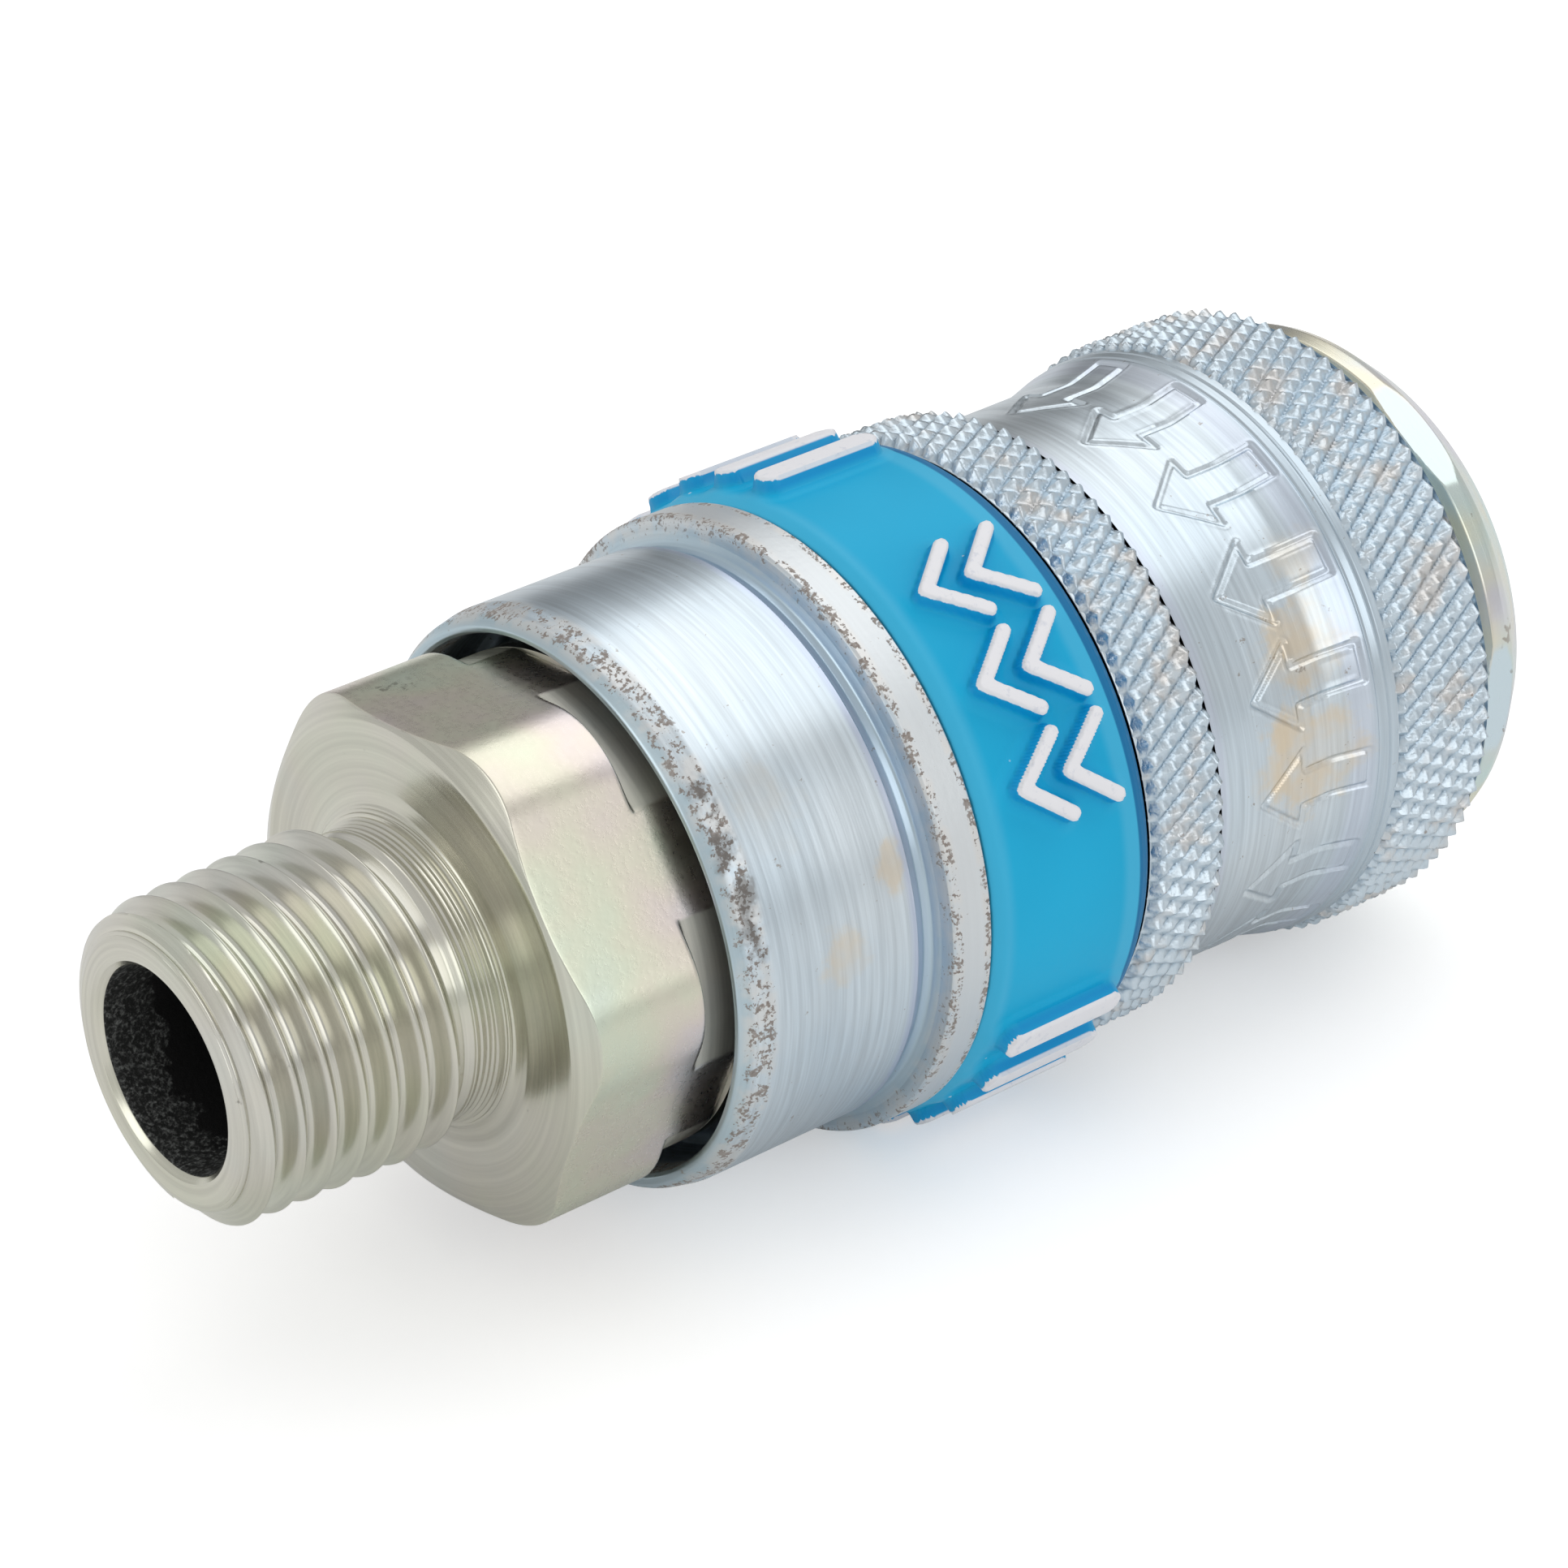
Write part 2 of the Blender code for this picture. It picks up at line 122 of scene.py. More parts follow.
class CouplerColours(bpy.types.PropertyGroup):
    """Base colours of the finishes, in linear light"""
    adaptor: colour_setting(
        "Adaptor Zinc", "Olive-tinted zinc of the thread and hexagon", (0.665, 0.67, 0.595))
    sleeve: colour_setting("Sleeve Zinc", "Blue-passivated zinc of the sleeve", (0.60, 0.69, 0.755))
    band: colour_setting("Band Rubber", "Blue rubber of the band", (0.001, 0.395, 0.67))
    print_white: colour_setting("Mark White", "White print on the raised marks", (0.83, 0.83, 0.86))
    brass: colour_setting("Brass", "Valve, guide and seal retainer", (0.74, 0.53, 0.24))


# ---------------------------------------------------------------- surfaces

def smoothstep(low, high, value):
    """Rises smoothly from 0 at low to 1 at high."""
    t = np.clip((value - low) / (high - low), 0, 1)
    return t * t * (3 - 2 * t)


def soft_min(a, b, width):
    """The smaller of a and b, with the corner between them rounded over width."""
    h = np.clip(0.5 + 0.5 * (b - a) / width, 0, 1)
    return b + (a - b) * h - width * h * (1 - h)


def even_rolls(count):
    return np.arange(count) * TURN / count


def outline(corners, step, wrap=True):
    """Rows along an outline of (station, radius, fillet) corners.

    A corner may give the step of the stretch after it as a fourth number.
    Each corner is a parabola between two points at fillet / tan(half its angle) from it,
    and each straight stretch is cut into pieces no longer than step, with a short piece
    next to each corner so that flat stretches shade flat.
    """
    points = np.array([c[:2] for c in corners], float)
    before, after = np.roll(points, 1, 0) - points, np.roll(points, -1, 0) - points
    reach = np.minimum(np.hypot(*before.T), np.hypot(*after.T))
    u = before / np.hypot(*before.T)[:, None]
    v = after / np.hypot(*after.T)[:, None]
    half = np.arccos(np.clip((u * v).sum(1), -1, 1)) / 2
    cut = np.array([c[2] for c in corners]) / np.tan(np.maximum(half, 0.05))
    cut = np.minimum(cut, 0.48 * reach)
    if not wrap:
        cut[[0, -1]] = 0
    rows = []
    for k in range(len(points)):
        enter, leave = points[k] + u[k] * cut[k], points[k] + v[k] * cut[k]
        t = np.linspace(0, 1, 4 if cut[k] > 0 else 1)[:, None]
        rows.append((1 - t) ** 2 * enter + 2 * t * (1 - t) * points[k] + t * t * leave)
        following = (k + 1) % len(points)
        if not wrap and following == 0:
            break
        goal = points[following] + u[following] * cut[following]
        length = np.hypot(*(goal - leave))
        stride = corners[k][3] if len(corners[k]) > 3 else step
        cuts = np.linspace(0, 1, max(int(math.ceil(length / stride)), 1) + 1)[1:-1]
        if length > 0.25 and len(corners[k]) < 4:
            cuts = np.unique(np.concatenate([cuts, [0.05 / length, 1 - 0.05 / length]]))
        rows.append(leave + cuts[:, None] * (goal - leave))
    rows = np.concatenate(rows)
    return rows[:, 0], rows[:, 1]


def place(stations, radii, rolls):
    """World points: x along the axis, and the radius turned by the roll round it."""
    x = THREAD_END + stations * MM
    y = -radii * np.sin(rolls) * MM
    z = AXIS_HEIGHT + radii * np.cos(rolls) * MM
    return np.stack(np.broadcast_arrays(x, y, z), -1)


def grid_faces(rows, columns, wrap_rows):
    """Quads of a grid whose columns wrap, wound so that rising stations face outwards."""
    i = np.arange(rows if wrap_rows else rows - 1)[:, None]
    j = np.arange(columns)[None, :]
    below, beside = (i + 1) % rows, (j + 1) % columns
    corners = [i * columns + j, i * columns + beside, below * columns + beside, below * columns + j]
    return np.stack(np.broadcast_arrays(*corners), -1).reshape(-1, 4)


def grid_object(name, points, materials, wrap_rows=True, attributes=None, slots=None, sharp=38):
    """An object from a grid of points; poles are welded and edges over sharp are creased."""
    rows, columns = points.shape[:2]
    faces = grid_faces(rows, columns, wrap_rows)
    mesh = bpy.data.meshes.new(name)
    mesh.vertices.add(rows * columns)
    mesh.vertices.foreach_set("co", points.astype(np.float32).ravel())
    mesh.loops.add(faces.size)
    mesh.loops.foreach_set("vertex_index", faces.astype(np.int32).ravel())
    mesh.polygons.add(len(faces))
    mesh.polygons.foreach_set("loop_start", np.arange(0, faces.size, 4, dtype=np.int32))
    for key, values in (attributes or {}).items():
        layer = mesh.attributes.new(key, "FLOAT", "POINT")
        values = np.broadcast_to(values, (rows, columns)).astype(np.float32)
        layer.data.foreach_set("value", values.ravel())
    if slots is not None:
        index = np.broadcast_to(slots[:, None], (rows, columns))[: len(faces) // columns]
        mesh.polygons.foreach_set("material_index", index.astype(np.int32).ravel())
    mesh.update(calc_edges=True)
    if not wrap_rows:
        weld(mesh)
    mesh.shade_smooth()
    mesh.set_sharp_from_angle(angle=math.radians(sharp))
    for material in materials:
        mesh.materials.append(material)
    obj = bpy.data.objects.new(name, mesh)
    bpy.context.scene.collection.objects.link(obj)
    return obj


def weld(mesh):
    """Merges the coincident points of each pole into one."""
    bm = bmesh.new()
    bm.from_mesh(mesh)
    bmesh.ops.remove_doubles(bm, verts=bm.verts, dist=1e-8)
    bmesh.ops.dissolve_degenerate(bm, edges=bm.edges, dist=1e-8)
    bm.to_mesh(mesh)
    bm.free()


def turned(name, corners, materials, step=0.6, count=96, wrap=True, shape=None, **more):
    """A lathe piece: the outline's rows swept round the axis, then reshaped by shape."""
    stations, radii = outline(corners, step, wrap)
    rolls = even_rolls(count) if np.isscalar(count) else count
    s, r = np.broadcast_arrays(stations[:, None], radii[:, None], rolls[None, :])[:2]
    if shape:
        r, more["attributes"] = shape(s, r, rolls[None, :])
    return grid_object(name, place(s, r, rolls[None, :]), materials, wrap, **more)


def ball(name, centre, radius, material):
    """A sphere: the radius times (sin a cos b, sin a sin b, cos a) round its centre."""
    a = np.linspace(0, math.pi, 33)[:, None]
    b = even_rolls(64)[None, :]
    shell = [np.cos(a) + 0 * b, np.sin(a) * -np.sin(b), np.sin(a) * np.cos(b)]
    points = np.array(centre) - radius * MM * np.stack(shell, -1) * [1, -1, -1]
    return grid_object(name, points, [material], wrap_rows=False)


def coil(name, low, high, radius, wire, turns, material):
    """A compression spring: a circle carried along a helix whose end coils lie flat.

    The station climbs quickly over the first and last turn by one wire and evenly
    between them, and the wire's ends are closed by flat discs.
    """
    turn = np.linspace(0, turns, round(turns * 40) + 1)
    closed = 2 * wire + 0.15
    middle = np.clip((turn - 1) / (turns - 2), 0, 1)
    ends = np.minimum(turn, 1) + np.maximum(turn - (turns - 1), 0)
    first, last = low + wire, high - wire
    station = first + closed * ends + (last - first - 2 * closed) * middle
    thickness = np.full(len(turn), wire)
    turn = np.concatenate([turn[:1], turn, turn[-1:]])[:, None]
    station = np.concatenate([station[:1], station, station[-1:]])[:, None]
    thickness = np.concatenate([[0], thickness, [0]])[:, None]
    around = even_rolls(18)[None, :]
    s = station - thickness * np.sin(around)
    r = radius + thickness * np.cos(around)
    points = place(s, r, -TURN * turn)[:, ::-1]
    return grid_object(name, points, [material], wrap_rows=False)


def drill(obj, radius, holes, sides=48):
    """Cuts round holes; each hole is (start, end) of its axis, and its wall is a grid."""
    for start, end in holes:
        start, end = np.array(start, float), np.array(end, float)
        along = (end - start) / np.linalg.norm(end - start)
        side = np.cross(along, [0.31, 0.59, 0.74])
        side /= np.linalg.norm(side)
        across = np.cross(along, side)
        b = even_rolls(sides)[None, :, None]
        axis = np.stack([start, start, end, end])[:, None, :]
        size = np.array([0, radius, radius, 0])[:, None, None] * MM
        points = axis + size * (np.cos(b) * side + np.sin(b) * across)
        cutter = grid_object("cutter", points, [], wrap_rows=False)
        bm = bmesh.new()
        bm.from_mesh(cutter.data)
        bmesh.ops.recalc_face_normals(bm, faces=bm.faces)
        bm.to_mesh(cutter.data)
        bm.free()
        cut = obj.modifiers.new("Hole", "BOOLEAN")
        cut.object = cutter
        cut.operation = "DIFFERENCE"
        depsgraph = bpy.context.evaluated_depsgraph_get()
        mesh = bpy.data.meshes.new_from_object(obj.evaluated_get(depsgraph))
        obj.modifiers.clear()
        obj.data = mesh
        bpy.data.objects.remove(cutter)
    obj.data.set_sharp_from_angle(angle=math.radians(38))
    return obj


def axis_point(station, radius, roll):
    return place(np.array(station), np.array(radius), math.radians(roll))


def attach(obj, body, slot, *nodes):
    """The piece rides on a body and stands for its nodes, whose imported parts are hidden; the slot
    is not used.
    """
    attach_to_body(obj, body)
    if nodes:
        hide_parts(*nodes)
    return obj


# ---------------------------------------------------------------- shading tools

class Shading:
    """Adds nodes to a tree and links them; a value may be a number or another socket."""

    def __init__(self, tree):
        self.tree = tree

    def node(self, kind, inputs=None, **settings):
        node = self.tree.nodes.new("ShaderNode" + kind)
        for key, value in settings.items():
            setattr(node, key, value)
        for key, value in (inputs or {}).items():
            self.put(node.inputs[key], value)
        return node

    def put(self, socket, value):
        if isinstance(value, bpy.types.NodeSocket):
            self.tree.links.new(value, socket)
        elif socket.type == "RGBA" and len(value) == 3:
            socket.default_value = (*value, 1)
        else:
            socket.default_value = value

    def math(self, operation, a, b=0.0):
        return self.node("Math", {0: a, 1: b}, operation=operation).outputs[0]

    def plus(self, a, b):
        return self.math("ADD", a, b)

    def minus(self, a, b):
        return self.math("SUBTRACT", a, b)

    def times(self, a, b):
        return self.math("MULTIPLY", a, b)

    def over(self, a, b):
        return self.math("DIVIDE", a, b)

    def larger(self, a, b):
        return self.math("MAXIMUM", a, b)

    def mix(self, factor, a, b, blend="MIX"):
        node = self.node("Mix", {0: factor, 6: a, 7: b}, data_type="RGBA", blend_type=blend)
        return node.outputs[2]

    def between(self, value, low, high, out_low=0.0, out_high=1.0):
        """Smooth step of a value from out_low at low to out_high at high."""
        inputs = {"Value": value, 1: low, 2: high, 3: out_low, 4: out_high}
        return self.node("MapRange", inputs, interpolation_type="SMOOTHSTEP").outputs[0]

    def noise(self, vector, scale, detail=2.0, roughness=0.5, w=None):
        inputs = {"Vector": vector, "Scale": scale, "Detail": detail, "Roughness": roughness}
        if w is not None:
            inputs["W"] = w
        node = self.node("TexNoise", inputs, noise_dimensions="3D" if w is None else "4D")
        return node.outputs["Fac"]

    def vector(self, x, y, z):
        return self.node("CombineXYZ", {0: x, 1: y, 2: z}).outputs[0]

    def grey(self, value):
        return self.node("CombineColor", {0: value, 1: value, 2: value}).outputs[0]


GROUPS = {}


def shared_group(inputs, outputs):
    """Lists a function that fills a shader node group: its inputs with defaults, its outputs.

    The function takes a Shading and the input sockets, and returns a value for each output.
    """
    def keep(fill):
        GROUPS[fill.__name__] = (fill, inputs, outputs)
        return fill
    return keep


def node_group(kind):
    """The shader node group of a kind, made once."""
    name = "coupler_" + kind
    if name in bpy.data.node_groups:
        return bpy.data.node_groups[name]
    fill, inputs, outputs = GROUPS[kind]
    tree = bpy.data.node_groups.new(name, "ShaderNodeTree")
    for label, default in inputs.items():
        socket_type = "NodeSocketVector" if default is None else "NodeSocketFloat"
        socket = tree.interface.new_socket(label, in_out="INPUT", socket_type=socket_type)
        if default is not None:
            socket.default_value = default
    for label in outputs:
        socket_type = "NodeSocketColor" if label == "Color" else "NodeSocketFloat"
        tree.interface.new_socket(label, in_out="OUTPUT", socket_type=socket_type)
    shading = Shading(tree)
    given = list(tree.nodes.new("NodeGroupInput").outputs)[:len(inputs)]
    made = tree.nodes.new("NodeGroupOutput").inputs
    for socket, value in zip(made, fill(shading, *given)):
        shading.put(socket, value)
    return tree


@shared_group({"Vector": None}, ("Station", "Roll", "Radius", "Across", "Up"))
def lathe(s, vector):
    """Station, roll and radius in millimetres, and the direction round the axis."""
    axis = s.node("Mapping", {
        "Vector": vector, "Location": (-THREAD_END / MM, 0, -AXIS_HEIGHT / MM),
        "Scale": (1 / MM, 1 / MM, 1 / MM)})
    x, y, z = s.node("SeparateXYZ", {0: axis.outputs[0]}).outputs
    across = s.times(y, -1.0)
    arm = s.vector(0.0, across, z)
    radius = s.node("VectorMath", {0: arm}, operation="LENGTH").outputs["Value"]
    safe = s.larger(radius, 0.01)
    return x, s.math("ARCTAN2", across, z), radius, s.over(across, safe), s.over(z, safe)


@shared_group(
    {"Station": 0.0, "Radius": 0.0, "Across": 0.0, "Up": 0.0, "Density": 6.0, "Length": 0.6},
    ("Fine", "Coarse"))
def turning(s, station, radius, across, up, density, length):
    """Lines left by the lathe tool: noise that changes fast along the outline only."""
    lines = []
    for share, detail in ((1.0, 3.0), (0.22, 4.0)):
        rate = s.times(density, share)
        vector = s.vector(s.times(station, rate), s.times(radius, rate), s.times(across, length))
        lines.append(s.noise(vector, 1.0, detail, 0.6, w=s.times(up, length)))
    return lines


@shared_group({"Station": 0.0, "Low": 0.0, "High": 1.0, "Soft": 0.2}, ("Mask",))
def window(s, station, low, high, soft):
    """1 between the stations Low and High, falling to 0 over Soft outside them."""
    rise = s.between(station, s.minus(low, soft), low)
    fall = s.between(station, high, s.plus(high, soft))
    return [s.times(rise, s.minus(1.0, fall))]


@shared_group({"Vector": None, "Scale": 2500.0, "Amount": 0.4, "Mask": 1.0}, ("Mask", "Tone"))
def pits(s, vector, scale, amount, mask):
    """Small dark marks where plating has worn: thresholded noise, thinned by a Mask."""
    big = s.noise(vector, s.times(scale, 0.28), 2.0, 0.5)
    small = s.noise(vector, scale, 3.0, 0.6)
    blend = s.plus(s.times(big, 0.45), s.times(small, 0.55))
    edge = s.minus(0.72, s.times(s.times(amount, mask), 0.36))
    return s.times(s.between(blend, edge, s.plus(edge, 0.035)), mask), small


@shared_group(
    {"Vector": None, "Station": 0.0, "Roll": 0.0, "At Station": 0.0, "At Roll": 0.0,
     "Length": 1.0, "Spread": 0.2}, ("Mask",))
def patch(s, vector, station, roll, at_station, at_roll, length, spread):
    """A stain: 1 inside an oval of a station and roll, with an uneven edge."""
    along = s.over(s.minus(station, at_station), length)
    around = s.over(s.minus(roll, at_roll), spread)
    far = s.math("SQRT", s.plus(s.times(along, along), s.times(around, around)))
    rough = s.times(s.minus(s.noise(vector, 700.0, 4.0, 0.6), 0.5), 2.2)
    return [s.between(s.plus(far, rough), 0.55, 1.25, 1.0, 0.0)]


@shared_group({"Vector": None, "Scale": 160.0, "Bands": 1.6}, ("Color",))
def film(s, vector, scale, bands):
    """Interference colours of a thin clear film: three cosines of a slow noise."""
    phase = s.times(s.times(s.noise(vector, scale, 3.0, 0.45), bands), TURN)
    waves = [s.math("COSINE", s.plus(phase, shift)) for shift in (0.0, 2.1, 4.0)]
    channels = {number: s.plus(0.62, s.times(wave, 0.30)) for number, wave in enumerate(waves)}
    return [s.node("CombineColor", channels).outputs[0]]


@shared_group({"Vector": None, "Scale": 900.0, "Size": 0.1}, ("Mask",))
def dust(s, vector, scale, size):
    """Tiny pale specks: the middles of a few scattered cells."""
    cells = s.node("TexVoronoi", {"Vector": vector, "Scale": scale})
    chance = s.node("SeparateColor", {0: cells.outputs["Color"]}).outputs[0]
    pick = s.math("GREATER_THAN", chance, 0.72)
    spot = s.between(cells.outputs["Distance"], s.times(size, 0.5), size, 1.0, 0.0)
    return [s.times(spot, pick)]


class Finish(Shading):
    """A material whose Principled shader is filled from the shared groups."""

    def __init__(self, name, metallic, roughness):
        self.material = bpy.data.materials.new(name)
        self.material.use_nodes = True
        super().__init__(self.material.node_tree)
        self.shader = self.tree.nodes["Principled BSDF"]
        self.set("Metallic", metallic)
        self.set("Roughness", roughness)
        self.place = self.node("TexCoord").outputs["Object"]
        self.lathe = self.group("lathe", Vector=self.place)

    def set(self, socket, value):
        self.put(self.shader.inputs[socket], value)

    def group(self, kind, **inputs):
        node = self.node("Group")
        node.node_tree = node_group(kind)
        for key, value in inputs.items():
            self.put(node.inputs[key.replace("_", " ").title()], value)
        return node.outputs

    def turning(self, density, length=0.6):
        o = self.lathe
        return self.group("turning", station=o["Station"], radius=o["Radius"], across=o["Across"],
                          up=o["Up"], density=density, length=length)

    def window(self, low, high, soft=0.2):
        station = self.lathe["Station"]
        return self.group("window", station=station, low=low, high=high, soft=soft)["Mask"]

    def patch(self, station, roll, length, spread):
        return self.group(
            "patch", vector=self.place, station=self.lathe["Station"], roll=self.lathe["Roll"],
            at_station=station, at_roll=math.radians(roll), length=length,
            spread=math.radians(spread))["Mask"]

    def tint(self, colours, mask, strength, colour):
        return self.mix(self.times(mask, strength), colours, colour)

    def attribute(self, name):
        return self.node("Attribute", attribute_name=name).outputs["Fac"]

    def bump(self, height, distance, strength=1.0, under=None):
        inputs = {"Height": height, "Distance": distance * MM, "Strength": strength}
        if under is not None:
            inputs["Normal"] = under
        normal = self.node("Bump", inputs).outputs[0]
        self.set("Normal", normal)
        return normal


# ---------------------------------------------------------------- finishes

def adaptor_finish(colour):
    """Zinc with a clear olive passivate: turned faces show tool lines, flats show film colours."""
    f = Finish("adaptor_zinc", 1.0, 0.25)
    flat = f.attribute("flat")
    turned_face = f.minus(1.0, flat)
    lines = f.turning(5.5, 0.5)
    film = f.group("film", vector=f.place, scale=150.0, bands=2.0)
    threaded = f.window(0.5, 9.6, 0.1)
    colours = f.mix(f.plus(0.04, f.times(flat, 0.10)), colour, film["Color"])
    olive = f.between(f.noise(f.place, 90.0, 2.0), 0.35, 0.7)
    colours = f.tint(colours, olive, 0.35, (0.63, 0.62, 0.49))
    shade = f.between(lines["Fine"], 0.25, 0.75, 0.86, 1.04)
    shade = f.plus(f.times(shade, turned_face), flat)
    colours = f.mix(1.0, colours, f.grey(shade), "MULTIPLY")
    pits = f.group("pits", vector=f.place, scale=1500.0, amount=0.16, mask=1.0)
    colours = f.tint(colours, pits["Mask"], 0.5, (0.10, 0.09, 0.07))
    f.set("Base Color", colours)
    speckle = f.noise(f.place, 3500.0, 3.0, 0.7)
    rough = f.plus(0.15, f.times(lines["Fine"], 0.12))
    rough = f.plus(rough, f.times(flat, f.times(speckle, 0.16)))
    ring = f.times(f.window(17.02, 19.2, 0.04), turned_face)
    f.set("Roughness", f.plus(rough, f.times(ring, 0.28)))
    plain_face = f.times(turned_face, f.minus(1.0, f.times(threaded, 0.85)))
    height = f.plus(f.times(lines["Fine"], 0.5), f.times(lines["Coarse"], 1.0))
    under = f.bump(f.times(height, plain_face), 0.011, 0.7)
    f.bump(f.times(speckle, f.plus(0.08, flat)), 0.012, 0.45, under)
    return f.material


def painted_bore_shade():
    """Painted shade inside the adaptor's bore: near black deeper in, grey and grainy near the
    mouth.
    """
    f = Finish("bore_grain_and_painted_shade", 0.2, 0.75)
    grain = f.noise(f.place, 5200.0, 4.0, 0.75)
    edge = f.plus(f.lathe["Station"], f.times(f.noise(f.place, 900.0, 4.0, 0.7), 4.0))
    mouth = f.between(edge, 4.4, 4.55, 1.0, 0.0)
    grey = f.between(grain, 0.45, 0.72)
    grains = f.mix(grey, (0.012, 0.013, 0.012), (0.24, 0.25, 0.24))
    # Away from the mouth the bore is painted near black: painted shade deep inside the bore.
    f.set("Base Color", f.mix(mouth, (0.004, 0.004, 0.004), grains))
    f.set("Roughness", f.plus(0.5, f.times(grain, 0.4)))
    f.bump(grain, 0.05, 0.8)
    return f.material


def sleeve_finish(colour):
    """Blue-passivated zinc: tool lines, violet bands, darker bands with painted shade in the groove
    by the front knurl, worn pitted edges and tan stains.
    """
    f = Finish("sleeve_zinc", 1.0, 0.3)
    lines = f.turning(7.0, 2.0)
    bands = f.turning(5.0, 1.6)
    cloud = f.noise(f.place, 110.0, 3.0, 0.5)
    colours = f.mix(f.between(cloud, 0.3, 0.7), colour, (0.66, 0.725, 0.765))
    tone = f.between(bands["Fine"], 0.25, 0.75, 0.82, 1.07)
    colours = f.mix(1.0, colours, f.grey(tone), "MULTIPLY")
    # Pale violet bands of the passivate at 26.35, 41.5 and 49.2. The darker band from 50.1 to 51.0
    # is painted shade in the concave groove by the front knurl. The other two darken the rib's foot
    # and the lip's inner edge.
    for low, high, soft, strength, tint in (
            (26.35, 26.9, 0.4, 0.4, (0.50, 0.56, 0.80)), (41.5, 42.0, 0.5, 0.3, (0.58, 0.60, 0.76)),
            (49.2, 49.8, 0.6, 0.25, (0.58, 0.62, 0.80)), (50.1, 51.0, 0.3, 0.4, (0.44, 0.54, 0.62)),
            (26.9, 27.35, 0.1, 0.6, (0.40, 0.55, 0.64)),
            (17.9, 18.4, 0.25, 0.6, (0.42, 0.56, 0.62))):
        mask = f.times(f.window(low, high, soft), strength)
        colours = f.mix(mask, colours, tint)
    rib = f.window(27.62, 29.5, 0.12)
    colours = f.tint(colours, rib, 0.85, (0.70, 0.725, 0.735))
    uneven = f.between(f.noise(f.place, 320.0, 3.0, 0.6), 0.36, 0.62, 0.25, 1.0)
    for station, roll, length, spread, strength in (
            (47.2, 61, 2.0, 9, 0.75), (46.9, 83, 2.6, 11, 0.85), (25.6, 68, 0.7, 5, 0.6),
            (22.9, 82, 1.1, 6, 0.55), (48.4, 44, 1.4, 5, 0.4), (21.0, 50, 1.4, 10, 0.2),
            (47.4, 205, 2.2, 12, 0.7), (23.5, 230, 1.2, 9, 0.5)):
        mask = f.times(f.times(f.patch(station, roll, length, spread), uneven), strength)
        colours = f.mix(mask, colours, (0.72, 0.60, 0.43))
    lip = f.window(18.45, 19.3, 0.45)
    rear_edge, front_edge = f.window(27.5, 27.8, 0.3), f.window(29.05, 29.4, 0.25)
    wear = f.larger(lip, f.larger(rear_edge, front_edge))
    pale = f.times(wear, f.between(f.noise(f.place, 700.0, 3.0, 0.6), 0.4, 0.6))
    colours = f.tint(colours, pale, 0.6, (0.74, 0.72, 0.69))
    pits = f.group("pits", vector=f.place, scale=6400.0, amount=0.56, mask=wear)
    few = f.group("pits", vector=f.place, scale=4200.0, amount=0.2, mask=1.0)
    brown = f.mix(f.between(pits["Tone"], 0.45, 0.7), (0.40, 0.36, 0.33), (0.27, 0.22, 0.19))
    colours = f.tint(colours, pits["Mask"], 0.85, brown)
    broken = f.between(f.noise(f.place, 900.0, 3.0, 0.7), 0.4, 0.6)
    smear = f.times(f.patch(19.0, 58, 0.55, 20), broken)
    colours = f.tint(colours, smear, 0.75, (0.20, 0.19, 0.18))
    colours = f.tint(colours, few["Mask"], 0.6, (0.28, 0.22, 0.17))
    f.set("Base Color", colours)
    rough = f.plus(0.24, f.times(lines["Fine"], 0.12))
    rough = f.plus(rough, f.times(f.larger(rib, wear), 0.16))
    f.set("Roughness", f.plus(rough, f.times(pits["Mask"], 0.25)))
    height = f.plus(f.times(lines["Fine"], 0.5), lines["Coarse"])
    smooth = f.minus(1.0, f.times(rib, 0.9))
    under = f.bump(f.times(height, smooth), 0.010, 0.7)
    grain = f.noise(f.place, 2600.0, 3.0, 0.6)
    grain = f.minus(grain, f.times(pits["Mask"], 0.9))
    f.bump(f.times(grain, f.plus(0.15, f.larger(rib, wear))), 0.022, 0.5, under)
    return f.material


def knurl_finish(colour):
    """Zinc on the knurls: bright crumpled points, blue-grey grooves and brown wear."""
    f = Finish("knurl_zinc", 1.0, 0.34)
    height = f.attribute("height")
    groove = f.between(height, 0.05, 0.45, 1.0, 0.0)
    colours = f.tint(colour, groove, 0.75, (0.34, 0.45, 0.55))
    tan = f.between(f.noise(f.place, 420.0, 3.0, 0.6), 0.5, 0.68)
    colours = f.tint(colours, tan, 0.5, (0.66, 0.56, 0.47))
    crest = f.between(height, 0.7, 0.95)
    pits = f.group("pits", vector=f.place, scale=3600.0, amount=0.46, mask=f.larger(crest, 0.35))
    colours = f.tint(colours, pits["Mask"], 0.75, (0.27, 0.22, 0.19))
    f.set("Base Color", colours)
    grain = f.noise(f.place, 3200.0, 4.0, 0.65)
    f.set("Roughness", f.plus(0.2, f.times(grain, 0.22)))
    f.bump(grain, 0.06, 0.65)
    return f.material


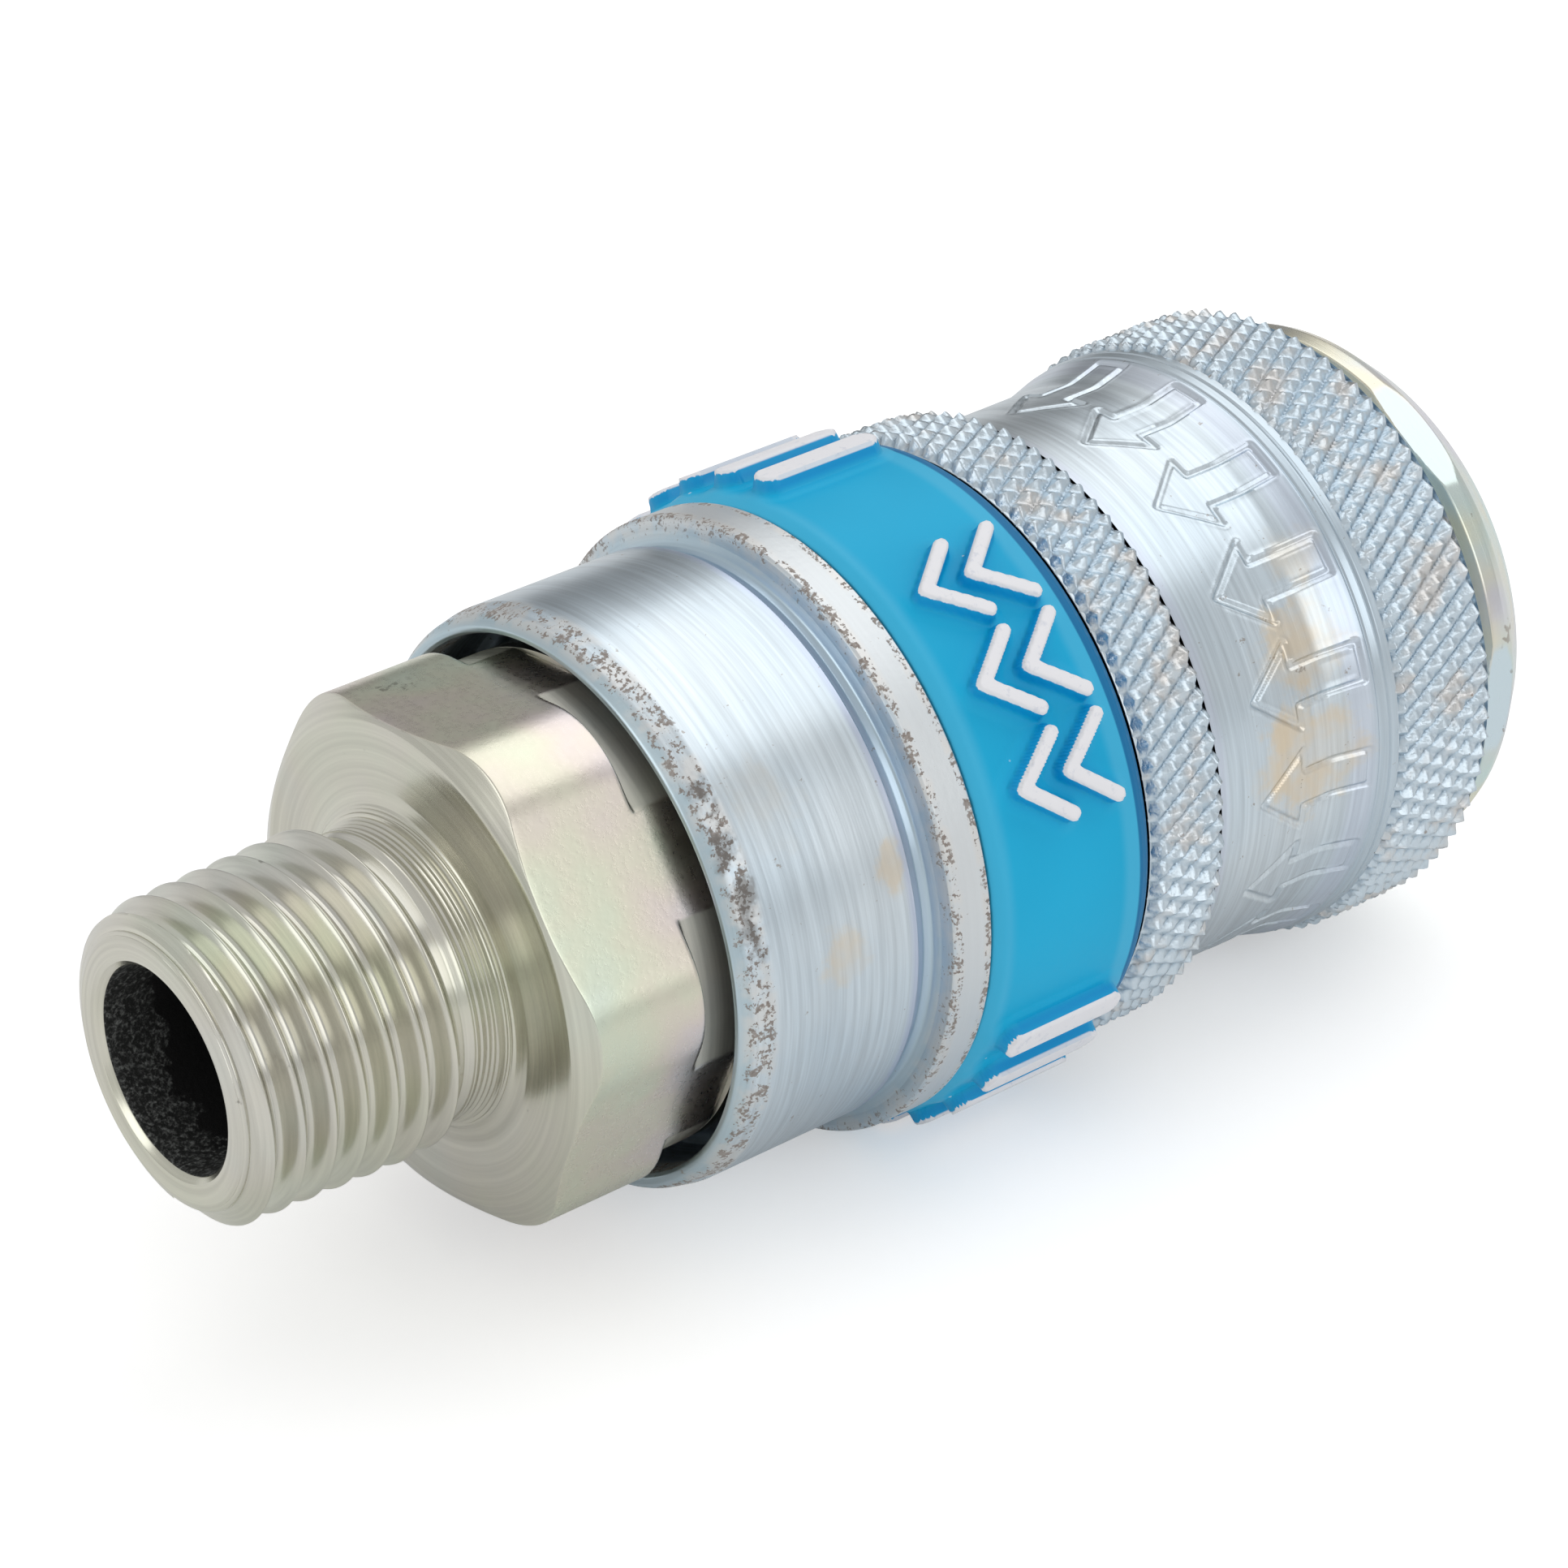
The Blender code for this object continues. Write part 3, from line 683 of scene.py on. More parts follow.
def nose_finish(colour):
    """Zinc on the body: pale blue flats with cream borders, faint film colours."""
    f = Finish("nose_zinc", 1.0, 0.27)
    flat = f.attribute("flat")
    lines = f.turning(7.0, 0.5)
    film = f.group("film", vector=f.place, scale=130.0, bands=1.6)
    colours = f.mix(0.16, colour, film["Color"])
    cream = f.between(f.noise(f.place, 210.0, 3.0, 0.5), 0.40, 0.60)
    outer = f.window(57.2, 59.6, 0.5)
    colours = f.tint(colours, f.times(cream, outer), 0.75, (0.76, 0.71, 0.53))
    colours = f.tint(colours, flat, 0.9, (0.62, 0.74, 0.80))
    colours = f.tint(colours, f.window(56.5, 57.25, 0.1), 0.7, (0.22, 0.34, 0.42))
    pits = f.group("pits", vector=f.place, scale=2600.0, amount=0.25, mask=1.0)
    f.set("Base Color", f.tint(colours, pits["Mask"], 0.6, (0.25, 0.20, 0.16)))
    f.set("Roughness", f.plus(0.2, f.times(lines["Fine"], 0.12)))
    f.bump(f.times(lines["Fine"], f.minus(1.0, flat)), 0.02, 0.5)
    return f.material


def band_finish(colour, white):
    """Blue rubber with white print on the raised marks and specks of dust, a painted highlight
    along the rear edge and painted shade on the front shoulder.
    """
    f = Finish("band_rubber", 0.0, 0.5)
    f.set("Specular IOR Level", 0.25)
    mark, rise = f.attribute("mark"), f.attribute("rise")
    cloud = f.noise(f.place, 120.0, 2.0, 0.5)
    blue = f.mix(f.between(cloud, 0.3, 0.7), colour, (0.004, 0.43, 0.72))
    foot = f.times(f.between(rise, 0.02, 0.5), f.between(rise, 0.5, 1.0, 1.0, 0.6))
    blue = f.tint(blue, foot, 0.7, (0.0, 0.27, 0.62))
    blue = f.tint(blue, f.window(36.3, 36.75, 0.5), 0.45, (0.10, 0.50, 0.74))
    # Painted shade on the band's front shoulder: dark blue from 36.85 to 38.0.
    blue = f.tint(blue, f.window(36.85, 38.0, 0.1), 0.9, (0.0, 0.13, 0.33))
    # Painted highlight along the band's rear edge: paler blue from 29.0 to 30.0.
    blue = f.tint(blue, f.window(29.0, 30.0, 0.6), 0.4, (0.10, 0.50, 0.74))
    dust = f.group("dust", vector=f.place, scale=800.0, size=0.075)
    blue = f.tint(blue, dust["Mask"], 0.75, (0.75, 0.85, 0.92))
    specks = f.between(f.noise(f.place, 2400.0, 3.0, 0.6), 0.56, 0.72)
    paint = f.tint(white, specks, 0.4, (0.52, 0.56, 0.66))
    printed = f.between(mark, 0.46, 0.54)
    f.set("Base Color", f.mix(printed, blue, paint))
    f.set("Roughness", f.plus(0.46, f.times(printed, 0.2)))
    grain = f.noise(f.place, 2200.0, 3.0, 0.6)
    f.bump(grain, 0.012, 0.5)
    return f.material


def plain_metal(name, colour, roughness, density=5.0):
    """Small inner metal parts: faint tool lines and uneven polish."""
    f = Finish(name, 1.0, roughness)
    lines = f.turning(density, 0.6)
    cloud = f.noise(f.place, 500.0, 3.0, 0.5)
    dark = tuple(c * 0.72 for c in colour)
    f.set("Base Color", f.mix(f.between(cloud, 0.3, 0.75), colour, dark))
    f.set("Roughness", f.plus(roughness - 0.06, f.times(lines["Fine"], 0.12)))
    f.bump(lines["Fine"], 0.012, 0.4)
    return f.material


def rubber_finish():
    """Black seal rubber with a soft bloom."""
    f = Finish("seal_rubber", 0.0, 0.5)
    bloom = f.between(f.noise(f.place, 900.0, 4.0, 0.6), 0.35, 0.75)
    f.set("Base Color", f.mix(bloom, (0.012, 0.012, 0.013), (0.035, 0.035, 0.037)))
    f.set("Roughness", f.plus(0.42, f.times(bloom, 0.2)))
    f.bump(bloom, 0.01, 0.3)
    return f.material


def finish(name, *arguments):
    """A finish by name, made once."""
    makers = {
        "adaptor_zinc": adaptor_finish, "bore_grain_and_painted_shade": painted_bore_shade, "sleeve_zinc": sleeve_finish,
        "knurl_zinc": knurl_finish, "nose_zinc": nose_finish, "band_rubber": band_finish,
        "seal_rubber": rubber_finish,
    }
    ready = bpy.data.materials.get(name)
    if ready:
        return ready
    if name in makers:
        return makers[name](*arguments)
    return plain_metal(name, *arguments)


# ---------------------------------------------------------------- shapes

HEX_ROLLS = [math.radians(22.5 + 30 + 60 * k) for k in range(6)]   # middles of the rear flats
NOSE_ROLLS = [math.radians(0.7 + 30 + 60 * k) for k in range(6)]


def flat_radius(rolls, middles, half_flats, corner=None):
    """Radius of a hexagon: half the width across flats over the cosine from a flat's middle.

    With a corner radius, each corner is an arc that touches both flats and whose top is
    that far from the axis: the ray from the axis meets the arc's circle there.
    """
    away = np.min([np.abs((rolls - m + math.pi) % TURN - math.pi) for m in middles], axis=0)
    radius = half_flats / np.cos(away)
    if corner is None:
        return radius
    half = math.radians(30)
    sharp = half_flats / math.cos(half)
    arc = (sharp - corner) / (1 / math.cos(half) - 1)
    centre = sharp - arc / math.cos(half)
    off = half - away
    ray = centre * np.cos(off) + np.sqrt(np.maximum(arc ** 2 - (centre * np.sin(off)) ** 2, 0))
    reach = sharp - arc * (1 / math.cos(half) - math.cos(half))
    return np.where(off < math.atan2(arc / 2, reach), ray, radius)


def crest_radius(s):
    return 6.33 + s / 32


def chamfer_radius(s):
    return 5.36 + 1.95 * (s - 0.06)


def thread_ridge(name, depth, material):
    """Right-hand taper thread: a rounded 55 degree V carried along a helix.

    Across the ridge the radius falls from the crest by the distance from it times the
    cotangent of 27.5 degrees, with the crest and the root rounded.  Along the helix the
    station grows by one pitch a turn.  The chamfer's cone cuts the first turns, the last
    one sinks away, and the loop is closed under the root and shrinks to a point at each end.
    """
    slope = 1 / math.tan(math.radians(27.5))
    u = np.linspace(0.5, -0.5, 31) ** 3 * 0.8 + np.linspace(0.5, -0.5, 31) * 0.8
    across = 0.996 * PITCH * np.concatenate([u, [-0.5, 0.5]])
    crest_curve = np.hypot(across * slope, 0.16) - 0.16
    fall = soft_min(crest_curve, depth + 0 * across, 0.22)
    under = np.arange(len(across)) >= len(u)
    turn = np.arange(-1.5, 6.05, 1 / 200)[:, None]
    s = 1.72 + PITCH * turn + across
    s = np.where(s < 0.25, 0.25 + 0.09 * (s - 0.25), s)
    sunk = 1.2 * depth * smoothstep(5.2, 6.0, turn)
    r = crest_radius(s) - fall - sunk
    r = soft_min(r, chamfer_radius(s), 0.06)
    bottom = np.minimum(crest_radius(s) - depth - 0.3, chamfer_radius(s) - 0.3)
    r = np.where(under, bottom, np.maximum(r, bottom + 0.02))
    middle_s, middle_r = s.mean(1, keepdims=True), r.mean(1, keepdims=True)
    s = np.concatenate([middle_s[:1] + 0 * s[:1], s, middle_s[-1:] + 0 * s[:1]])
    r = np.concatenate([middle_r[:1] + 0 * r[:1], r, middle_r[-1:] + 0 * r[:1]])
    turn = np.concatenate([turn[:1], turn, turn[-1:]])
    points = place(s, r, TURN * turn)
    return grid_object(name, points, [material], wrap_rows=False, sharp=60)


def adaptor_rows(rolls, depth):
    """Stations, radii, flatness and material slot of the adaptor's rows, from the mouth and back
    inside; the bore's rows take the painted shade.

    The rows of the hexagon's front chamfer end on the edge where the chamfer meets the
    flats: for each roll that is the station where the chamfer's cone has the flat's
    radius, so the edge follows the grid.
    """
    blank = 0 * rolls
    rows_s, rows_r, flat, dark_rows = [], [], [], []

    def add(s, r, is_flat=0.0, dark=0):
        rows_s.append(s + blank)
        rows_r.append(r + blank)
        flat.append(is_flat + blank)
        dark_rows.append(dark)

    def add_outline(corners, step, dark=0):
        for s, r in zip(*outline(corners, step, wrap=False)):
            add(s, r, 0.0, dark)

    mouth = [
        (0.28, 4.16, 0), (0.04, 4.40, 0.08), (0.0, 4.6, 0.05), (0.0, 5.22, 0.06), (0.06, 5.36, 0)]
    add_outline(mouth, 0.16)
    for s in np.concatenate([np.linspace(0.08, 0.42, 18), np.linspace(0.5, 9.6, 24)]):
        groove = 0.016 * math.sin(TURN * s / 0.1) * float(s < 0.42)
        add(s, min(crest_radius(s) - depth - 0.02, chamfer_radius(s) + groove - 0.02))
    relief = crest_radius(9.62) - depth - 0.02
    corners = [
        (9.66, relief, 0), (9.95, 5.93, 0.3), (10.5, 5.93, 0.4), (11.0, 6.12, 0.3),
        (11.4, 6.55, 0.25), (11.56, 7.1, 0)]
    stations, radii = outline(corners, 0.055, wrap=False)
    for s, r in zip(stations, radii):
        groove = 0.028 * math.sin(TURN * (s + r) / 0.26) * float(10.1 < s < 11.35)
        add(s + 0.5 * groove, r - groove)

    hexagon = flat_radius(rolls, HEX_ROLLS, HEX_HALF_FLATS, HEX_CORNER)
    cone_r, cone_s = np.array([7.1, 9.72, 9.82, 11.0]), np.array([11.57, 11.60, 11.63, 12.26])
    for r in np.linspace(7.2, 9.7, 12):
        add(np.interp(r, cone_r, cone_s), r)
    for share in np.linspace(0.0, 0.94, 9):
        r = 9.75 + (hexagon - 9.75) * share
        add(np.interp(r, cone_r, cone_s), r)
    edge = np.interp(hexagon, cone_r, cone_s)
    add(edge - 0.005, hexagon - 0.018, 0.3)
    add(edge + 0.03, hexagon - 0.002, 0.8)
    back = 16.98
    for share in np.concatenate([[0.012], np.linspace(0.05, 0.97, 18), [0.995]]):
        add(edge + (back - edge) * share, hexagon, 1.0)
    turned_part = hexagon > RING_RADIUS + 0.01
    ring = np.minimum(hexagon, RING_RADIUS)
    add(back + 0.03, hexagon - 0.03 * turned_part, ~turned_part * 1.0)
    add(back + 0.07, ring, ~turned_part * 1.0)
    for s in np.linspace(back + 0.12, 19.1, 26):
        groove = 0.012 * np.sin(TURN * s / 0.16) * turned_part
        add(s, ring + groove - 0.012 * turned_part, ~turned_part * 1.0)
    corners = [
        (19.2, 10.0, 0), (19.22, 10.2, 0.01), (20.6, 10.2, 0.1), (20.7, 10.05, 0.05),
        (20.7, 6.35, 0, 2), (21.9, 6.35, 0, 2), (21.9, 5.3, 0, 2), (23.5, 5.3, 0, 2),
        (23.5, 6.35, 0, 2), (27.85, 6.35, 0.1), (28.0, 6.1, 0.05), (28.0, 5.2, 0.03),
        (24.6, 5.2, 0, 2), (24.25, 4.16, 0)]
    add_outline(corners, 1.2)
    # The bore's rows take the second slot, whose colour is painted shade.
    for s in np.concatenate([np.linspace(24.0, 1.0, 16), [0.75, 0.55, 0.42]]):
        add(s, BORE_RADIUS, 0.0, 1)
    return np.array(rows_s), np.array(rows_r), np.array(flat), np.array(dark_rows)


def sleeve_corners():
    """Outline of the sleeve from the lip's inner edge, along the outside and back inside."""
    rear = [
        (18.3, 11.06, 0.08), (18.1, 11.18, 0.08), (18.07, 11.42, 0.15), (18.55, 11.78, 0.5),
        (19.4, 11.96, 0.7), (26.42, 11.96, 0.05), (26.56, 11.76, 0.06), (26.9, 11.68, 0.2),
        (27.2, 11.78, 0.2), (27.36, 12.2, 0.15), (27.45, 12.78, 0.06), (27.58, 12.87, 0.05),
        (29.26, 12.87, 0.05), (29.36, 12.75, 0.05), (29.36, 12.1, 0.04), (37.66, 12.1, 0.04),
        (37.70, 12.6, 0.05)]
    front = [
        (41.36, 12.6, 0), (41.36, 11.7, 0, 5), (51.14, 11.7, 0), (51.14, 12.5, 0, 3),
        (56.2, 12.5, 0.05), (56.36, 12.35, 0.06), (56.36, 9.25, 0.12), (56.2, 9.1, 0.05)]
    inside = [
        (53.35, 9.1, 0.1), (49.33, 7.95, 0, 3), (41.0, 7.95, 0, 3), (41.0, 10.6, 0, 9),
        (21.85, 10.6, 0, 3), (21.4, 11.06, 0.1)]
    return rear + front + inside


NECK_CORNERS = [
    (41.3, 11.8, 0), (41.3, 12.6, 0), (41.36, 12.6, 0.05), (41.72, 12.26, 0.25), (44.4, 12.09, 3.0),
    (48.1, 12.13, 2.0), (49.3, 12.43, 1.0), (50.12, 12.66, 0.15), (50.2, 12.58, 0.04),
    (50.3, 12.66, 0.04), (50.62, 12.74, 0.06), (50.72, 12.56, 0.04), (50.84, 12.70, 0.04),
    (51.2, 12.72, 0.02), (51.2, 11.8, 0, 1.5)]


def stroke_distance(along, across, start, end):
    """Distance of each point of a flat pattern from the straight stroke start to end."""
    (a0, c0), (a1, c1) = start, end
    length_squared = (a1 - a0) ** 2 + (c1 - c0) ** 2
    t = np.clip(((along - a0) * (a1 - a0) + (across - c0) * (c1 - c0)) / length_squared, 0, 1)
    return np.hypot(along - a0 - t * (a1 - a0), across - c0 - t * (c1 - c0))


def across_from(rolls, middle, radius):
    """Arc length from a roll in degrees, along a circle."""
    return radius * ((rolls - math.radians(middle) + math.pi) % TURN - math.pi)


ARROW_TIP = 44.25
ARROW_ROLLS = [-16 + 21 * k for k in range(8)]
ARROW_HALF = [(0.0, 0.0), (2.25, 1.75), (2.25, 0.8), (5.5, 0.8)]


def arrow_distance(s, across):
    """Distance to the outline of an arrow that points to the thread end."""
    corners = ARROW_HALF + [(a, -c) for a, c in reversed(ARROW_HALF[1:])] + ARROW_HALF[:1]
    strokes = zip(corners, corners[1:])
    return np.min([stroke_distance(s - ARROW_TIP, across, *ends) for ends in strokes], axis=0)


def sleeve_shape(depth):
    """Engraves outline arrows in the neck, each a groove with slightly raised lips."""
    def shape(s, r, rolls):
        near = np.full(s.shape, 9.0)
        for roll in ARROW_ROLLS:
            near = np.minimum(near, arrow_distance(s, across_from(rolls, roll, r)))
        outside = r > 11.9
        groove = depth * smoothstep(0.17, 0.05, near)
        lip = 0.022 * smoothstep(0.34, 0.2, near) * smoothstep(0.12, 0.2, near)
        return r + outside * (lip - groove), None
    return shape


def knurl_shape(count, depth, phase):
    """Diamond knurl: the lower of two slanting saw-tooth waves, roughened point by point."""
    def shape(s, r, rolls):
        around = rolls * count / TURN
        slant = s * count * math.tan(KNURL_SLANT) / (TURN * 13.15) + phase
        first = 1 - 2 * np.abs((around + slant) % 1 - 0.5)
        second = 1 - 2 * np.abs((around - slant) % 1 - 0.5)
        number = np.floor(around + slant) * 12.9898 + np.floor(around - slant) * 78.233
        uneven = np.abs(np.sin(number) * 43758.5453) % 1
        wave = np.minimum(first * 1.05, 0.26 + second * 0.78)
        points = np.clip(wave * (0.9 + 0.2 * uneven), 0, 0.86 + 0.14 * uneven)
        wobble = 0.05 * np.sin(s * 9.1 + rolls * 171) * np.sin(rolls * 263 - s * 7.7)
        height = np.clip(points + wobble * points, 0, 1)
        outside = r > 12.66
        return r - outside * depth * (1 - height), {"height": np.where(outside, height, 0.0)}
    return shape


BAR_ROLLS = [159 - 11.5 * k for k in range(5)] + [201] + [-11.5 - 11 * k for k in range(6)]
BAR_STROKES = [((31.1, 0), (35.7, 0))]
CHEVRON_ROLLS = [28 + 18 * k for k in range(3)] + [222, 240]
CHEVRON_STROKES = [((tip, 0), (tip + 2.0, side)) for tip in (31.3, 33.6) for side in (-1.6, 1.6)]


def band_shape(height):
    """Raises the marks: full height inside a stroke, a steep wall and a soft foot outside it."""
    def shape(s, r, rolls):
        away = np.full(s.shape, 9.0)
        for rolls_of_kind, strokes, half_width in (
                (BAR_ROLLS, BAR_STROKES, 0.62), (CHEVRON_ROLLS, CHEVRON_STROKES, 0.29)):
            for roll in rolls_of_kind:
                across = across_from(rolls, roll, 13.4)
                for ends in strokes:
                    away = np.minimum(away, stroke_distance(s, across, *ends) - half_width)
        outside = r > 12.45
        wall = smoothstep(0.17, -0.03, away)
        foot = 0.17 * smoothstep(0.75, 0.1, away)
        rise = np.maximum(wall, foot)
        return r + outside * height * rise, {
            "mark": np.where(outside, np.clip(0.5 - (away - 0.015) / 0.2, 0, 1), 0.0),
            "rise": np.where(outside, rise, 0.0)}
    return shape


# ---------------------------------------------------------------- operators

class COUPLER_OT_rear_adaptor(bpy.types.Operator):
    """Taper thread, hexagon and spigot, in olive-tinted zinc"""
    bl_idname = "coupler.rear_adaptor"
    bl_label = "Rear Adaptor"

    def execute(self, context):
        sizes, colours = context.scene.coupler_sizes, context.scene.coupler_colours
        flat_end = math.acos(HEX_HALF_FLATS / RING_RADIUS)
        special = [middle + side * flat_end for middle in HEX_ROLLS for side in (-1, 1)]
        rolls = np.unique(np.round(np.concatenate([even_rolls(348), np.array(special) % TURN]), 5))
        s, r, flat, dark = adaptor_rows(rolls, sizes.thread_depth / MM)
        materials = [finish("adaptor_zinc", tuple(colours.adaptor)), finish("bore_grain_and_painted_shade")]
        points = place(s, r, rolls[None, :])
        adaptor = grid_object(
            "thread_adaptor", points, materials, attributes={"flat": flat}, slots=dark)
        attach(adaptor, "coupler", "zinc_adaptor", "rear_adaptor")
        ridge = thread_ridge("thread_helix", sizes.thread_depth / MM, materials[0])
        attach(ridge, "coupler", "zinc_adaptor", "rear_adaptor")
        return {"FINISHED"}


class COUPLER_OT_body(bpy.types.Operator):
    """Inner tube with its ball holes, valve seat and the hexagonal nose"""
    bl_idname = "coupler.body"
    bl_label = "Coupler Body"

    def execute(self, context):
        colour = tuple(context.scene.coupler_colours.sleeve)
        corners = [
            (21.0, 6.5, 0, 2), (21.0, 7.6, 0, 3), (52.9, 7.6, 0.2), (53.7, 8.85, 0.2),
            (56.7, 8.85, 0.1),
            (56.7, 10.74, 0.12), (57.12, 10.72, 0.08), (57.28, 11.2, 0.2), (57.66, 11.79, 0.12),
            (58.4, 11.8, 0.3), (58.85, 11.62, 0.4), (60.25, 10.5, 0.8), (60.8, 9.9, 0.35),
            (61.0, 9.3, 0.2), (61.0, 6.3, 0.12), (59.9, 5.2, 0.2), (45.0, 5.2, 0.08),
            (45.0, 6.3, 0, 2), (42.3, 6.3, 0, 2), (42.3, 4.7, 0.05), (40.8, 4.7, 0.15),
            (39.3, 6.0, 0, 3), (29.4, 6.0, 0, 2), (29.4, 6.5, 0, 3)]
        stations, radii = outline(corners, 1.3)
        fine_s, fine_r = outline(corners, 0.1)
        nose = (fine_s > 57.0) & (fine_r > 9.9)
        first = np.argmax((stations > 57.0) & (radii > 9.9))
        last = len(stations) - np.argmax(((stations > 57.0) & (radii > 9.9))[::-1])
        stations = np.concatenate([stations[:first], fine_s[nose], stations[last:]])
        radii = np.concatenate([radii[:first], fine_r[nose], radii[last:]])
        rolls = even_rolls(420)[None, :]
        s, r = np.broadcast_arrays(stations[:, None], radii[:, None], rolls)[:2]
        hexagon = flat_radius(rolls, NOSE_ROLLS, NOSE_HALF_FLATS)
        on_nose = (s > 57.05) & (r > 9.9)
        cut = np.where(on_nose, soft_min(r, hexagon + 0 * r, 0.025), r)
        flat = np.where(on_nose, smoothstep(0.0, 0.09, r - hexagon), 0.0)
        metal = finish("nose_zinc", colour)
        body = grid_object("body_tube", place(s, cut, rolls), [metal], attributes={"flat": flat})
        holes = [[axis_point(BALL_STATION, r, roll) for r in (3.6, 9.0)] for roll in BALL_ROLLS]
        drill(body, 1.9, holes)
        attach(body, "coupler", "zinc_sleeve", "coupler_body")
        return {"FINISHED"}


class COUPLER_OT_sleeve(bpy.types.Operator):
    """Sliding sleeve with its lip, barrel, rib and engraved neck"""
    bl_idname = "coupler.sleeve"
    bl_label = "Outer Sleeve"

    def execute(self, context):
        sizes, colours = context.scene.coupler_sizes, context.scene.coupler_colours
        metal = finish("sleeve_zinc", tuple(colours.sleeve))
        shell = turned("sleeve_shell", sleeve_corners(), [metal], 1.2, 400, sharp=50)
        attach(shell, "sleeve", "zinc_sleeve", "outer_sleeve")

        engraved = np.radians(np.linspace(-32, 146, 430))
        plain = np.radians(np.linspace(146, 328, 112))[1:-1]
        rolls = np.concatenate([engraved, plain])[None, :]
        stations, radii = outline(NECK_CORNERS, 0.1)
        s, r = np.broadcast_arrays(stations[:, None], radii[:, None], rolls)[:2]
        r, _ = sleeve_shape(sizes.engraving_depth / MM)(s, r, rolls)
        neck = grid_object("sleeve_neck", place(s, r, rolls), [metal], sharp=50)
        attach(neck, "sleeve", "zinc_sleeve", "outer_sleeve")
        return {"FINISHED"}


class COUPLER_OT_knurls(bpy.types.Operator):
    """The two knurled rings of the sleeve"""
    bl_idname = "coupler.knurls"
    bl_label = "Knurled Rings"

    def execute(self, context):
        sizes = context.scene.coupler_sizes
        metal = finish("knurl_zinc", tuple(context.scene.coupler_colours.sleeve))
        rings = (
            ("knurl_rear", 37.68, 41.5, 13.15, 12.72, 0.0),
            ("knurl_front", 51.1, 56.34, 13.13, 12.55, 0.37))
        for name, low, high, crest, front, phase in rings:
            corners = [
                (low, 12.35, 0), (low, 12.74, 0), (low + 0.34, crest, 0), (high - 0.34, crest, 0),
                (high, front + 0.1, 0), (high, 12.35, 0, 1.2)]
            shape = knurl_shape(sizes.knurl_count, sizes.knurl_depth / MM, phase)
            columns = sizes.knurl_count * 8
            ring = turned(name, corners, [metal], 0.095, columns, shape=shape, sharp=60)
            attach(ring, "sleeve", "zinc_sleeve", "outer_sleeve")
        return {"FINISHED"}


class COUPLER_OT_band(bpy.types.Operator):
    """Rubber band with raised bars and chevrons"""
    bl_idname = "coupler.band"
    bl_label = "Identification Band"

    def execute(self, context):
        sizes, colours = context.scene.coupler_sizes, context.scene.coupler_colours
        corners = [
            (29.46, 12.4, 0.05), (29.46, 12.74, 0.1), (29.95, 13.0, 0.5), (36.95, 13.0, 0.15),
            (37.2, 12.92, 0.1), (37.56, 12.62, 0.08), (37.6, 12.4, 0.03, 1.2)]
        rubber = finish("band_rubber", tuple(colours.band), tuple(colours.print_white))
        marks = band_shape(sizes.mark_height / MM)
        band = turned("rubber_band", corners, [rubber], 0.1, 800, shape=marks, sharp=70)
        attach(band, "sleeve", "blue_rubber", "id_band")
        return {"FINISHED"}


class COUPLER_OT_balls(bpy.types.Operator):
    """Locking balls"""
    bl_idname = "coupler.balls"
    bl_label = "Locking Balls"

    def execute(self, context):
        steel = finish("ball_steel", (0.78, 0.78, 0.80), 0.12)
        for number, roll in enumerate(BALL_ROLLS, 1):
            low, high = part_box(f"locking_ball_{number}")
            piece = ball(f"steel_ball_{number}", (low + high) / 2, 1.75, steel)
            attach(piece, f"ball_{number}", "ball_steel", f"locking_ball_{number}")
        return {"FINISHED"}


class COUPLER_OT_springs(bpy.types.Operator):
    """Sleeve spring and valve spring"""
    bl_idname = "coupler.springs"
    bl_label = "Springs"

    def execute(self, context):
        steel = finish("spring_wire", (0.50, 0.50, 0.52), 0.28)
        springs = (
            ("sleeve_spring", "sleeve_slide", 22.3, 39.3, 9.1, 0.65, 7),
            ("valve_spring", "valve_slide", 29.4, 37.2, 3.3, 0.4, 4.5))
        for node, joint, low, high, radius, wire, turns in springs:
            spring = coil(f"{node}_wire", low, high, radius, wire, turns, steel)
            attach(spring, "coupler", "spring_steel", node)
            anchor = tuple(axis_point(low, 0.0, 0.0))
            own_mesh(spring)
        return {"FINISHED"}


class COUPLER_OT_washers(bpy.types.Operator):
    """Spring washers and the seal retainer"""
    bl_idname = "coupler.washers"
    bl_label = "Washers"

    def execute(self, context):
        steel = finish("washer_steel", (0.56, 0.57, 0.58), 0.3)
        brass = finish("valve_brass", tuple(context.scene.coupler_colours.brass), 0.26)
        rings = (
            ("spring_washer", "spring_rest_washer", "coupler", steel, 21.0, 22.0, 7.9, 10.2),
            ("turning_washer", "thrust_washer", "sleeve_carriage", steel, 39.6, 40.7, 7.9, 10.3),
            ("retainer_ring", "seal_retainer", "coupler", brass, 42.45, 43.15, 5.1, 6.15))
        for name, node, body, metal, low, high, inner, outer in rings:
            corners = [
                (low, inner, 0.08), (low, outer, 0.12), (high, outer, 0.12), (high, inner, 0.08)]
            slot = "valve_brass" if metal is brass else "spring_steel"
            attach(turned(name, corners, [metal], 0.5, 128), body, slot, node)
        return {"FINISHED"}


